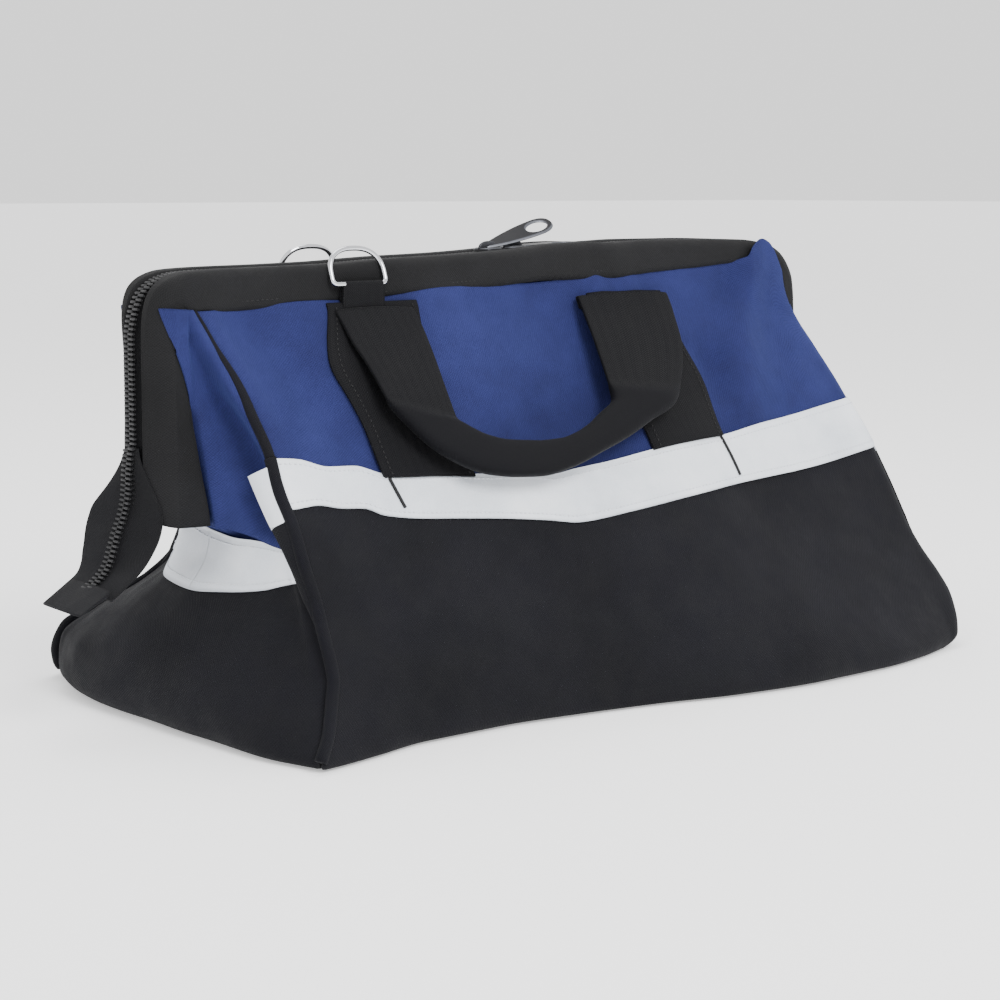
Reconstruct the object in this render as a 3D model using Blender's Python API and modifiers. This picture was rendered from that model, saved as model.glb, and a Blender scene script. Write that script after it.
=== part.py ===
# Wide-mouth tool bag: a soft tub, two steel-framed mouth halves, a double zip and carrying loops.
# Metres, +Z up. +X runs along the bag, the front faces -Y, and the origin is under the base's middle.

import math

import bmesh
import bpy
from mathutils import Vector

MM = 0.001

# Bag body
BASE_LENGTH = 400 * MM
BASE_DEPTH = 242 * MM
WALL_HEIGHT = 188 * MM
WALL_TOP_DEPTH = 34 * MM
BASE_CORNER_RADIUS = 30 * MM
TOP_CORNER_RADIUS = 8 * MM
LEAN = 12 * MM
CLOTH = 1.8 * MM
GAP = 0.3 * MM
WELD_DISTANCE = 0.01 * MM
SHARP_ANGLE = math.radians(40)
# Outline of the long walls: heights as shares of the wall, half lengths as shares of half the base
# and sideways shifts as shares of the lean
HEIGHT_SHARES = (0.0, 0.1, 0.26, 0.53, 0.77, 1.0)
HALF_LENGTH_SHARES = (1.0, 1.0, 0.96, 0.935, 0.91, 0.88)
SHIFT_SHARES = (0.0, 0.2, 0.15, 0.0, 0.0, -1.0)
# The cloth slumps below this height. The foot of a long wall stands out or in by these bows at shares
# of half the base's length. At the left end the seams draw in and the cloth between them swells,
# at shares of the slump's height.
SLUMP_TOP = 80 * MM
BOW_SHARES = (-1.0, -0.82, -0.66, -0.46, -0.25, -0.04, 0.18, 0.42, 0.65, 0.82, 1.0)
FRONT_BOWS = (
    -2 * MM, -7 * MM, -13 * MM, -13 * MM, -8 * MM, 0.0, 10.5 * MM, 15 * MM, 13 * MM, 8 * MM, 1 * MM,
)
REAR_BOWS = (
    1 * MM, 4 * MM, 6 * MM, 7.5 * MM, 6 * MM, 3 * MM, 4 * MM, 7 * MM, 5.5 * MM, 4 * MM, 1 * MM,
)
PINCH_SHARES = (0.0, 0.2, 0.42, 0.67, 1.0)
FRONT_PINCHES = (
    0.0, 12 * MM, 16 * MM, 9 * MM, 0.0,
)
REAR_PINCHES = (
    0.0, -2 * MM, 3 * MM, 10 * MM, 0.0,
)
END_SWELLS = (
    5 * MM, 11 * MM, 7 * MM, 2 * MM, 0.0,
)

# Base
BASE_PANEL = 2.5 * MM
BOARD_THICKNESS = 3 * MM
BOARD_INSET = 22 * MM
BASE_EDGE_STEP = 16 * MM

# White band over the seam, which sags between the pipings
TAPE_WIDTH = 25 * MM
TAPE_THICKNESS = 1.2 * MM
TAPE_END_TOP = 124 * MM
TAPE_SAG = 19 * MM
TAPE_DIP_X = -25 * MM
SAG_POWER = 1.25
GUSSET_TAPE_TOP = 89 * MM
GUSSET_SAG_POWER = 3
GUSSET_FOLD = 8 * MM
HEM_RISE = 5 * MM
HEM_TRIM = 6 * MM
# The blue end cloth bends at a knee: shares of its own height
KNEE_SHARE = 0.2
KNEE_RISE_SHARE = 0.12
PIPING_RADIUS = 2 * MM

# Mouth halves
MOUTH_LENGTH = 406 * MM
MOUTH_SHIFT = -14 * MM
MOUTH_TOP = 209.5 * MM
MOUTH_TILT_SHARE = 0.028
MOUTH_CORNER_RADIUS = 22 * MM
LEG_BOTTOM = 94 * MM
SLEEVE_RISE = 15.5 * MM
SLEEVE_DEPTH = 14 * MM
SLEEVE_ROUNDING = 4 * MM
SLEEVE_START = 6.3 * MM
ROD_RADIUS = 3 * MM

# Zip: tape, coils, sliders and pulls
ZIP_TAPE = 1 * MM
ZIP_TAPE_DEPTH = 3 * MM
ZIP_TAPE_END = 110 * MM
ZIP_SPLIT = 0.6 * MM
COIL_RADIUS = 1.7 * MM
SLIDER_LENGTH = 14.6 * MM
SLIDER_WIDTH = 10.5 * MM
SLIDER_PLATE = 1.5 * MM
SLIDER_WEB = 0.6 * MM
BRIDGE_LENGTH = 7 * MM
BRIDGE_WIDTH = 3 * MM
BRIDGE_ROOM = 1.9 * MM
BRIDGE_BAR = 1.2 * MM
PULL_LENGTH = 42 * MM
PULL_ROOT_WIDTH = 8 * MM
PULL_TIP_WIDTH = 10 * MM
PULL_THICKNESS = 1.3 * MM
PULL_ROOT_BAR = 1.2 * MM
PULL_WINDOW_LENGTH = 7.5 * MM
PULL_WINDOW_WIDTH = 4.4 * MM
PULL_HOLE_LENGTH = 14 * MM
PULL_RIM = 1.5 * MM
LEFT_SLIDER_X = -19 * MM
SLIDER_SPACING = 15.6 * MM
LEFT_PULL_ANGLE = math.radians(14)
RIGHT_PULL_ANGLE = math.radians(0)

# Free zip ends
TAIL_WIDTH = 38 * MM
TAIL_THICKNESS = 1.6 * MM
TAIL_TOP = 98 * MM
TAIL_BOTTOM = 66 * MM
TAIL_SLANT = 16 * MM
TAIL_SLANT_POWER = 1.4
TAIL_TAB_LENGTH = 17 * MM
TAIL_TAB_DROP = 10 * MM
TAIL_TAB_THICKNESS = 2.4 * MM

# Straps, carrying loops and rings
STRAP_WIDTH = 50 * MM
STRAP_THICKNESS = 2.2 * MM
STRAP_SPACING = 154 * MM
STRAP_CENTRE_LOW = -14.5 * MM
STRAP_CENTRE_HIGH = -25.5 * MM
STRAP_DROP = 4 * MM
LOOP_STANDOFF = 3.5 * MM
LOOP_BOW = 7 * MM
LOOP_HANG = 68 * MM
LOOP_LEAN = 14 * MM
# An arm of the loop takes this share of half its way and of its whole drop
LOOP_ARM_SHARE = 0.42
LOOP_ARM_DROP_SHARE = 0.62
LOOP_ROUND_POWER = 0.8
LOOP_BOW_SHARE = 0.75
LOOP_FOLD_START_SHARE = 0.8
LOOP_FOLD_RUN_SHARE = 0.35
LOOP_EDGE_SHARE = 0.45
LOOP_HINGE_OUT = 1.1 * MM
LOOP_HINGE_DROP = 1 * MM
GRIP_WIDTH = 24 * MM
GRIP_THICKNESS = 9 * MM
RING_TAB_X = -110 * MM
RING_TAB_WIDTH = 23 * MM
RING_TAB_THICKNESS = 1.5 * MM
RING_X = -112 * MM
RING_INNER_WIDTH = 27 * MM
RING_HEIGHT = 17 * MM
RING_SHOULDER_SHARE = 0.3
RING_WIRE = 1.5 * MM
RING_BAR_RISE = 13 * MM
RING_LEAN = math.radians(9)

FRONT = -1
REAR = 1
LEFT = -1
RIGHT = 1
DEPTH_SIDES = (("front", FRONT), ("rear", REAR))
END_SIDES = (("left", LEFT), ("right", RIGHT))

wall_slope = (BASE_DEPTH - WALL_TOP_DEPTH) / (2 * WALL_HEIGHT)
wall_angle = math.atan(wall_slope)
mouth_angle = math.atan(MOUTH_TILT_SHARE)
wall_skew_share = math.sin(wall_angle)
piping_trim = PIPING_RADIUS + 2 * GAP + CLOTH / 2
corner_share = 1 - math.cos(math.pi / 4)
strap_top = WALL_HEIGHT - STRAP_DROP


# Scene, collections and materials

def clear_scene():
    for old in list(bpy.data.objects):
        bpy.data.objects.remove(old, do_unlink=True)


def new_collection(name):
    collection = bpy.data.collections.new(name)
    bpy.context.scene.collection.children.link(collection)
    return collection


def new_material(name, colour, roughness, metallic=0.0):
    material = bpy.data.materials.new(name)
    material.use_nodes = True
    shader = material.node_tree.nodes["Principled BSDF"]
    shader.inputs["Base Color"].default_value = (*colour, 1.0)
    shader.inputs["Roughness"].default_value = roughness
    shader.inputs["Metallic"].default_value = metallic
    material.diffuse_color = (*colour, 1.0)
    return material


clear_scene()
bag = new_collection("tool_bag")
materials = {
    "black_cloth": new_material("black_cloth", (0.026, 0.026, 0.031), 0.85),
    "blue_cloth": new_material("blue_cloth", (0.036, 0.056, 0.17), 0.8),
    "white_tape": new_material("white_tape", (0.78, 0.8, 0.84), 0.45),
    "webbing": new_material("webbing", (0.02, 0.02, 0.022), 0.9),
    "zip_coil": new_material("zip_coil", (0.05, 0.05, 0.055), 0.5),
    "dark_metal": new_material("dark_metal", (0.08, 0.08, 0.085), 0.35, 1.0),
    "chrome": new_material("chrome", (0.75, 0.75, 0.77), 0.15, 1.0),
    "steel": new_material("steel", (0.4, 0.4, 0.41), 0.4, 1.0),
    "board": new_material("board", (0.12, 0.09, 0.06), 0.9),
}


# Makers of objects

def place_object(name, data, material, smooth=True):
    item = bpy.data.objects.new(name, data)
    item.data.materials.append(materials[material])
    bag.objects.link(item)
    if smooth and isinstance(data, bpy.types.Mesh):
        data.shade_smooth()
        data.set_sharp_from_angle(angle=SHARP_ANGLE)
    return item


# Moving pieces hang from an empty on their joint's axis
def hang(name, place, pieces):
    pivot = bpy.data.objects.new(name, None)
    bag.objects.link(pivot)
    pivot.location = place
    for piece in pieces:
        piece.parent = pivot
        piece.location = piece.location - pivot.location
    return pivot


# An open surface: a flat grid whose points are moved to place(across, along), both from 0 to 1.
# A rolled grid meets itself across and makes a tube.
def surface_mesh(name, place, across_steps, along_steps, rolled=False, capped=False):
    grid = bmesh.new()
    bmesh.ops.create_grid(grid, x_segments=across_steps, y_segments=along_steps, size=0.5)
    for vertex in grid.verts:
        vertex.co = place(vertex.co.x + 0.5, vertex.co.y + 0.5)
    if rolled:
        bmesh.ops.remove_doubles(grid, verts=grid.verts, dist=WELD_DISTANCE)
    if capped:
        bmesh.ops.holes_fill(grid, edges=grid.edges, sides=0)
    mesh = bpy.data.meshes.new(name)
    grid.to_mesh(mesh)
    grid.free()
    return mesh


# The thickness grows from the surface towards -1 its back, 0 both ways or 1 its front
def sheet(name, place, steps, thickness, material, towards=-1, rolled=False):
    item = place_object(name, surface_mesh(name, place, *steps, rolled=rolled), material)
    shell = item.modifiers.new("Thickness", "SOLIDIFY")
    shell.thickness = thickness
    shell.offset = towards
    shell.use_even_offset = True
    return item


def loft(name, place, steps, material):
    return place_object(name, surface_mesh(name, place, *steps, rolled=True, capped=True), material)


def wire(name, points, radius, material, closed=False):
    curve = bpy.data.curves.new(name, "CURVE")
    curve.dimensions = "3D"
    spline = curve.splines.new("POLY")
    spline.points.add(len(points) - 1)
    for knot, point in zip(spline.points, points):
        knot.co = (*point, 1.0)
    spline.use_cyclic_u = closed
    curve.bevel_depth = radius
    curve.bevel_resolution = 2
    curve.use_fill_caps = not closed
    return place_object(name, curve, material)


# A flat outline in its own XY plane, thickened half up and half down
def plate(name, outlines, thickness, material):
    curve = bpy.data.curves.new(name, "CURVE")
    curve.dimensions = "2D"
    curve.fill_mode = "BOTH"
    curve.extrude = thickness / 2
    for outline in outlines:
        spline = curve.splines.new("POLY")
        spline.points.add(len(outline) - 1)
        for knot, point in zip(spline.points, outline):
            knot.co = (*point, 0.0, 1.0)
        spline.use_cyclic_u = True
    return place_object(name, curve, material)


def box(name, parent, low, high, material):
    shape = bmesh.new()
    bmesh.ops.create_cube(shape, size=1.0)
    middle = (Vector(low) + Vector(high)) / 2
    size = Vector(high) - Vector(low)
    for vertex in shape.verts:
        vertex.co = middle + vertex.co * size
    mesh = bpy.data.meshes.new(name)
    shape.to_mesh(mesh)
    shape.free()
    item = place_object(name, mesh, material, smooth=False)
    item.parent = parent
    return item


def arc(centre, radius, start, end, steps):
    turns = [start + (end - start) * step / steps for step in range(steps + 1)]
    return [(centre[0] + radius * math.cos(turn), centre[1] + radius * math.sin(turn)) for turn in turns]


def rounded_rectangle(length, width, radius, steps=5):
    points = []
    for quarter, (side_x, side_y) in enumerate(((1, 1), (-1, 1), (-1, -1), (1, -1))):
        centre = (side_x * (length / 2 - radius), side_y * (width / 2 - radius))
        start = quarter * math.pi / 2
        points += arc(centre, radius, start, start + math.pi / 2, steps)
    return points


# Shape of the bag body

def mix(start, end, share):
    return start + (end - start) * share


# Smooth reading of a table of values that stand at the given shares
def along_table(share, values, places=HEIGHT_SHARES):
    share = min(max(share, places[0]), places[-1])
    last = len(places) - 1
    row = max(k for k in range(last) if places[k] <= share)
    step = (share - places[row]) / (places[row + 1] - places[row])

    def steepness(k):
        low = max(k - 1, 0)
        high = min(k + 1, last)
        return (values[high] - values[low]) / (places[high] - places[low])

    width = places[row + 1] - places[row]
    square = step * step
    cube = square * step
    return (
        (2 * cube - 3 * square + 1) * values[row]
        + (cube - 2 * square + step) * width * steepness(row)
        + (3 * square - 2 * cube) * values[row + 1]
        + (cube - square) * width * steepness(row + 1)
    )


def half_depth(height):
    return BASE_DEPTH / 2 - wall_slope * height


# Half length from the middle to the piping on the rounded corner
def half_length(height):
    return BASE_LENGTH / 2 * along_table(height / WALL_HEIGHT, HALF_LENGTH_SHARES)


def sideways(height):
    return LEAN * along_table(height / WALL_HEIGHT, SHIFT_SHARES)


def corner_radius(height):
    return mix(BASE_CORNER_RADIUS, TOP_CORNER_RADIUS, min(height / WALL_HEIGHT, 1.0))


# Length of a straight and half a rounded corner, up to the cloth's trimmed edge
def trimmed_reach(half, radius, trim):
    return half - radius * (1 - corner_share) + radius * math.pi / 4 - trim


# Runs along a straight of the given half length that ends in half a rounded corner.
# Returns how far along and how far in from the face.
def round_the_corner(share, half, radius, trim):
    straight = half - radius * (1 - corner_share)
    run = abs(share) * trimmed_reach(half, radius, trim)
    angle = max(run - straight, 0.0) / radius
    forward = min(run, straight) + radius * math.sin(angle)
    return math.copysign(forward, share), radius * (1 - math.cos(angle))


# Moves a point of the straight bag to its place in the slumped one
def slump(point):
    if point.z >= SLUMP_TOP:
        return point
    fall = 1 - point.z / SLUMP_TOP
    facing = REAR if point.y > 0 else FRONT
    out = min(abs(point.y) / half_depth(point.z), 1.0)
    bows, pinches = (REAR_BOWS, REAR_PINCHES) if facing == REAR else (FRONT_BOWS, FRONT_PINCHES)
    bow = along_table(2 * point.x / BASE_LENGTH, bows, BOW_SHARES) * fall * fall * (3 - 2 * fall)
    leftwards = max(-point.x / half_length(point.z), 0.0)
    pinch = along_table(1 - fall, pinches, PINCH_SHARES)
    swell = along_table(1 - fall, END_SWELLS, PINCH_SHARES)
    aside = leftwards * leftwards * (pinch * out * out - swell * (1 - out * out))
    return Vector((point.x + aside, point.y + facing * out * bow, point.z))


# A point on a long wall: share across from -1 left to 1 right, and outwards from its face
def wall_point(facing, share, height, outwards=0.0, trim=piping_trim):
    forward, inset = round_the_corner(share, half_length(height), corner_radius(height), trim)
    depth = half_depth(height) - inset + outwards / math.cos(wall_angle)
    return slump(Vector((forward + sideways(height), facing * depth, height)))


def end_reach(height, trim):
    radius = corner_radius(height)
    return trimmed_reach(half_depth(height) - corner_share * radius, radius, trim)


# A point on an end wall: share across from -1 front to 1 rear
def end_point(end, share, height, fold=0.0, outwards=0.0, trim=piping_trim):
    radius = corner_radius(height)
    corner_half = half_depth(height) - corner_share * radius
    forward, inset = round_the_corner(share, corner_half, radius, trim)
    out = half_length(height) + corner_share * radius - inset - fold * (1 - share * share) + outwards
    return slump(Vector((sideways(height) + end * out, forward, height)))


def corner_point(end, facing, height):
    outer = wall_point(facing, end, height, trim=0.0)
    inward = CLOTH / 2 * math.sqrt(0.5)
    return outer - Vector((end * inward, facing * inward, 0.0))


# The white band's top edge sags from both pipings to its dip
def tape_top(x):
    end = BASE_LENGTH / 2 * HALF_LENGTH_SHARES[3]
    reach = end + abs(TAPE_DIP_X)
    share = min(abs(x - TAPE_DIP_X) / reach, 1.0)
    return TAPE_END_TOP - TAPE_SAG * (1 - share ** SAG_POWER)


def wall_tape_top(share):
    return tape_top(share * BASE_LENGTH / 2 * HALF_LENGTH_SHARES[3])


def end_tape_top(end, share):
    corner = wall_tape_top(end)
    return GUSSET_TAPE_TOP + (corner - GUSSET_TAPE_TOP) * abs(share) ** GUSSET_SAG_POWER


# The mouth half turns about the outer face of the white band at its lowest place
def mouth_hinge(facing):
    height = TAPE_END_TOP - TAPE_SAG
    depth = half_depth(height) + (2 * GAP + TAPE_THICKNESS) / math.cos(wall_angle)
    return Vector((0.0, facing * depth, height))


# Base

def base_outline(inset):
    half = half_length(0.0) + corner_share * BASE_CORNER_RADIUS
    return rounded_rectangle(
        2 * (half - inset), BASE_DEPTH - 2 * inset, BASE_CORNER_RADIUS - inset
    )


# The base's edge follows the feet of the slumped walls
def slumped_outline():
    corners = base_outline(0.0)
    points = []
    for start, end in zip(corners, corners[1:] + corners[:1]):
        steps = max(round(math.dist(start, end) / BASE_EDGE_STEP), 1)
        for step in range(steps):
            share = step / steps
            place = Vector((mix(start[0], end[0], share), mix(start[1], end[1], share), 0.0))
            points.append(tuple(slump(place).xy))
    return points


def make_base():
    panel = plate("bottom_panel", [slumped_outline()], BASE_PANEL, "black_cloth")
    panel.location.z = BASE_PANEL / 2
    board = plate("bottom_board", [base_outline(BOARD_INSET)], BOARD_THICKNESS, "board")
    board.location.z = BASE_PANEL + GAP + BOARD_THICKNESS / 2


# Walls under and behind the white band

def make_lower_walls():
    foot = BASE_PANEL + GAP + CLOTH * wall_skew_share

    for name, facing in DEPTH_SIDES:
        def long_wall(across, along, facing=facing):
            share = mix(-1.0, 1.0, across)
            return wall_point(facing, share, mix(foot, wall_tape_top(share), along))

        sheet(f"{name}_lower_panel", long_wall, (26, 12), CLOTH, "black_cloth", towards=facing)

    for name, end in END_SIDES:
        def end_wall(across, along, end=end):
            share = mix(-1.0, 1.0, across)
            height = mix(foot, end_tape_top(end, share), along)
            return end_point(end, share, height, fold=GUSSET_FOLD * along)

        sheet(f"{name}_lower_gusset", end_wall, (16, 12), CLOTH, "black_cloth", towards=-end)


def make_tapes():
    outwards = 2 * GAP + TAPE_THICKNESS

    for name, facing in DEPTH_SIDES:
        def long_band(across, along, facing=facing):
            share = mix(-1.0, 1.0, across)
            top = wall_tape_top(share)
            height = top - TAPE_WIDTH * math.cos(wall_angle) * (1 - along)
            return wall_point(facing, share, height, outwards)

        sheet(f"{name}_tape", long_band, (26, 1), TAPE_THICKNESS, "white_tape", towards=facing)

    for name, end in END_SIDES:
        def end_band(across, along, end=end):
            share = mix(-1.0, 1.0, across)
            top = end_tape_top(end, share)
            drop = TAPE_WIDTH * (1 - along)
            fold = GUSSET_FOLD * (top - drop) / top
            return end_point(end, share, top - drop, fold, outwards)

        sheet(f"{name}_tape", end_band, (16, 3), TAPE_THICKNESS, "white_tape", towards=-end)


def make_pipings():
    clear = GAP + PIPING_RADIUS
    upper = {FRONT: [], REAR: []}
    for end_name, end in END_SIDES:
        seam = wall_tape_top(end)
        head = sleeve_underside(corner_point(end, FRONT, WALL_HEIGHT).x) - clear
        for name, facing in DEPTH_SIDES:
            for part, low, high, steps in (
                ("lower", BASE_PANEL + clear, seam, 14),
                ("upper", seam + clear / 2, head, 6),
            ):
                points = [
                    corner_point(end, facing, mix(low, high, step / steps)) for step in range(steps + 1)
                ]
                cord_name = f"{name}_{end_name}_{part}_piping"
                cord = wire(cord_name, points, PIPING_RADIUS, "black_cloth")
                if part == "upper":
                    upper[facing].append(cord)
    return upper


# Mouth halves: stations along the outer edge of the frame, from the left leg round to the right leg

leg_steps = 4
corner_steps = 5
top_steps = 10
mouth_steps = 2 * leg_steps + 2 * corner_steps + top_steps


# The mouth rises to the right, by less the nearer to the feet of its legs
def tilted(x, height):
    share = (height - LEG_BOTTOM) / (MOUTH_TOP - LEG_BOTTOM)
    return height + MOUTH_TILT_SHARE * (x - MOUTH_SHIFT) * share


# A point on the frame's outer edge, moved inwards
def mouth_point(station, inwards, depth, leg_end=LEG_BOTTOM):
    half = MOUTH_LENGTH / 2
    radius = MOUTH_CORNER_RADIUS
    mirrored = station > mouth_steps / 2
    side = RIGHT if mirrored else LEFT
    count = mouth_steps - station if mirrored else station
    shoulder = MOUTH_TOP - radius
    if count <= leg_steps:
        x = half - inwards
        z = mix(leg_end, shoulder, count / leg_steps)
    elif count <= leg_steps + corner_steps:
        turn = math.pi / 2 * (count - leg_steps) / corner_steps
        x = half - radius + (radius - inwards) * math.cos(turn)
        z = shoulder + (radius - inwards) * math.sin(turn)
    else:
        x = (half - radius) * (1 - 2 * (count - leg_steps - corner_steps) / top_steps)
        z = MOUTH_TOP - inwards
    along = MOUTH_SHIFT + side * x
    return Vector((along, depth, tilted(along, z)))


# Height of the frame's outer edge above a place on its straight top
def mouth_top_at(x):
    return tilted(x, MOUTH_TOP)


# Height of the inner edge of the sleeve above a place on the bag's length
def sleeve_underside(x):
    inner = MOUTH_CORNER_RADIUS - SLEEVE_RISE
    past = abs(x - MOUTH_SHIFT) - (MOUTH_LENGTH / 2 - MOUTH_CORNER_RADIUS) + CLOTH
    round_drop = inner - math.sqrt(max(inner * inner - max(past, 0.0) ** 2, 0.0))
    return tilted(x, MOUTH_TOP - SLEEVE_RISE - round_drop)


def make_sleeve(name, facing):
    section = [(y + SLEEVE_DEPTH / 2, x + SLEEVE_RISE / 2) for x, y in rounded_rectangle(
        SLEEVE_RISE, SLEEVE_DEPTH, SLEEVE_ROUNDING, steps=1
    )]
    if facing == REAR:
        section.reverse()

    def tube(across, along):
        depth, inwards = section[round(across * len(section)) % len(section)]
        station = round(along * mouth_steps)
        return mouth_point(station, inwards, facing * (SLEEVE_START + depth))

    steps = (len(section), mouth_steps)
    return sheet(f"{name}_sleeve", tube, steps, CLOTH, "black_cloth", towards=1, rolled=True)


def make_frame_rod(name, facing):
    inwards = CLOTH + 2 * GAP + ROD_RADIUS
    depth = facing * (SLEEVE_START + SLEEVE_DEPTH / 2)
    end = LEG_BOTTOM + ROD_RADIUS
    points = [mouth_point(station, inwards, depth, end) for station in range(mouth_steps + 1)]
    return wire(f"{name}_frame_rod", points, ROD_RADIUS, "steel")


def make_zip_half(name, facing):
    inner = SLEEVE_START - GAP

    def strip(across, along):
        depth = facing * mix(ZIP_SPLIT, inner, across)
        return mouth_point(round(along * mouth_steps), ZIP_TAPE_DEPTH, depth, ZIP_TAPE_END)

    steps = (1, mouth_steps)
    tape = sheet(f"{name}_zip_tape", strip, steps, ZIP_TAPE, "black_cloth", towards=facing)
    inwards = ZIP_TAPE_DEPTH - GAP - COIL_RADIUS
    depth = facing * (ZIP_SPLIT + COIL_RADIUS)
    points = [mouth_point(station, inwards, depth, ZIP_TAPE_END) for station in range(mouth_steps + 1)]
    return [tape, wire(f"{name}_zip_coil", points, COIL_RADIUS, "zip_coil")]


def make_upper_panel(name, facing):
    def panel(across, along):
        share = mix(-1.0, 1.0, across)
        low = wall_tape_top(share) + GAP + CLOTH * wall_skew_share
        head = sleeve_underside(wall_point(facing, share, WALL_HEIGHT).x) - GAP
        return wall_point(facing, share, mix(low, head, along))

    return sheet(f"{name}_upper_panel", panel, (16, 6), CLOTH, "blue_cloth", towards=facing)


# The end cloth of a mouth half runs from its piping to the frame's leg. Its hem follows the white
# band, and a knee carries it up or under the leg's foot.
def make_upper_gusset(name, facing, end_name, end):
    leg_x = MOUTH_SHIFT + end * (MOUTH_LENGTH / 2 - SLEEVE_RISE + SLEEVE_ROUNDING + GAP)
    seam = end_tape_top(end, facing) + HEM_RISE
    leg_depth = SLEEVE_START + SLEEVE_DEPTH + GAP
    trim = piping_trim + HEM_TRIM
    head = (BASE_DEPTH / 2 - leg_depth - trim - 2 * CLOTH) / wall_slope
    hem_share = facing * (leg_depth + CLOTH) / end_reach(GUSSET_TAPE_TOP, trim)

    def edge(share):
        return end_point(end, facing, mix(seam, head, share), trim=trim)

    def leg(share):
        return Vector((leg_x, facing * leg_depth, mix(LEG_BOTTOM, head, share)))

    def hem(across):
        share = mix(facing, hem_share, across)
        height = end_tape_top(end, share) + HEM_RISE
        return end_point(end, share, height, fold=GUSSET_FOLD, trim=trim)

    def stretched(across, share):
        return edge(mix(KNEE_RISE_SHARE, 1.0, share)).lerp(leg(share), across)

    def cloth(across, along):
        if along < KNEE_SHARE:
            return hem(across).lerp(stretched(across, 0.0), along / KNEE_SHARE)
        return stretched(across, (along - KNEE_SHARE) / (1 - KNEE_SHARE))

    cloth_name = f"{name}_{end_name}_upper_gusset"
    return sheet(cloth_name, cloth, (5, 5), CLOTH, "blue_cloth", towards=facing)


# Straps and carrying loops

def strap_x(side, height):
    share = (height - TAPE_END_TOP) / (strap_top - TAPE_END_TOP)
    return mix(STRAP_CENTRE_LOW, STRAP_CENTRE_HIGH, share) + side * STRAP_SPACING / 2


def make_strap(name, facing, end_name, end):
    outwards = GAP + STRAP_THICKNESS

    def webbing(across, along):
        offset = mix(-0.5, 0.5, across) * STRAP_WIDTH
        low = tape_top(strap_x(end, TAPE_END_TOP) + offset) + GAP + STRAP_THICKNESS * wall_skew_share
        height = mix(low, strap_top, along)
        depth = half_depth(height) + outwards / math.cos(wall_angle)
        return Vector((strap_x(end, height) + offset, facing * depth, height))

    strap_name = f"{name}_{end_name}_strap"
    return sheet(strap_name, webbing, (3, 4), STRAP_THICKNESS, "webbing", towards=facing)


# The carrying loop swings just under its arms' upper ends
def loop_hinge(facing):
    depth = half_depth(strap_top) + (STRAP_THICKNESS + 2 * GAP + LOOP_STANDOFF) / math.cos(wall_angle)
    return Vector((STRAP_CENTRE_HIGH, facing * (depth + LOOP_HINGE_OUT), strap_top - LOOP_HINGE_DROP))


# Route of a carrying loop from the left strap's top to the right strap's top, as a share of its way.
# The arms hang beside the wall and the folded grip bows between them.
def loop_route(share):
    side = math.copysign(1.0, share - 0.5)
    way = abs(2 * share - 1)
    half = STRAP_SPACING / 2
    if way >= 1 - LOOP_ARM_SHARE:
        down = (1 - way) / LOOP_ARM_SHARE
        x = half - LOOP_LEAN * down * down
        drop = LOOP_HANG * LOOP_ARM_DROP_SHARE * down
    else:
        turn = math.pi / 2 * way / (1 - LOOP_ARM_SHARE)
        x = (half - LOOP_LEAN) * math.sin(turn)
        drop = LOOP_HANG * mix(LOOP_ARM_DROP_SHARE, 1.0, math.cos(turn) ** LOOP_ROUND_POWER)
    return x * side, drop


def loop_fold(share):
    way = abs(2 * share - 1)
    fold = min(max((LOOP_FOLD_START_SHARE - way) / LOOP_FOLD_RUN_SHARE, 0.0), 1.0)
    return fold * fold * (3 - 2 * fold)


def make_carry_loop(name, facing):
    around = rounded_rectangle(2, 2, LOOP_EDGE_SHARE, steps=1)
    route_steps = 26
    look_share = 0.01
    if facing == REAR:
        around.reverse()

    def skin(across, along):
        spread, lift = around[round(across * len(around)) % len(around)]
        x, drop = loop_route(along)
        x_next, drop_next = loop_route(min(along + look_share, 1.0))
        x_last, drop_last = loop_route(max(along - look_share, 0.0))
        forward = Vector((x_next - x_last, 0.0, drop_last - drop_next)).normalized()
        fold = loop_fold(along)
        flat = Vector((math.copysign(1.0, 0.5 - along), 0.0, 0.0))
        upright = forward.x * math.cos(wall_angle)
        sunk = Vector((-forward.z, -facing * forward.x * math.sin(wall_angle), upright))
        width = flat.lerp(sunk, fold).normalized()
        broad = mix(STRAP_WIDTH, GRIP_WIDTH, fold) / 2
        thick = mix(STRAP_THICKNESS, GRIP_THICKNESS, fold) / 2
        bow = LOOP_BOW * math.sin(math.pi * LOOP_BOW_SHARE * drop / LOOP_HANG)
        stand = STRAP_THICKNESS + 2 * GAP + LOOP_STANDOFF + bow
        height = strap_top - drop
        face = half_depth(height) + stand / math.cos(wall_angle)
        centre = Vector((STRAP_CENTRE_HIGH + x, facing * face, height))
        outward = Vector((0.0, facing * math.cos(wall_angle), math.sin(wall_angle)))
        return centre + width * spread * broad + outward * lift * thick

    loop = loft(f"{name}_carry_loop", skin, (len(around), route_steps), "webbing")
    return hang(f"{name}_loop_hinge", loop_hinge(facing), [loop])


# Rings and the short webbing tabs that hold them

def ring_bar(facing):
    depth = SLEEVE_START + SLEEVE_DEPTH + 2 * GAP + RING_TAB_THICKNESS + RING_WIRE
    return Vector((RING_X, facing * depth, strap_top + RING_BAR_RISE))


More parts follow.
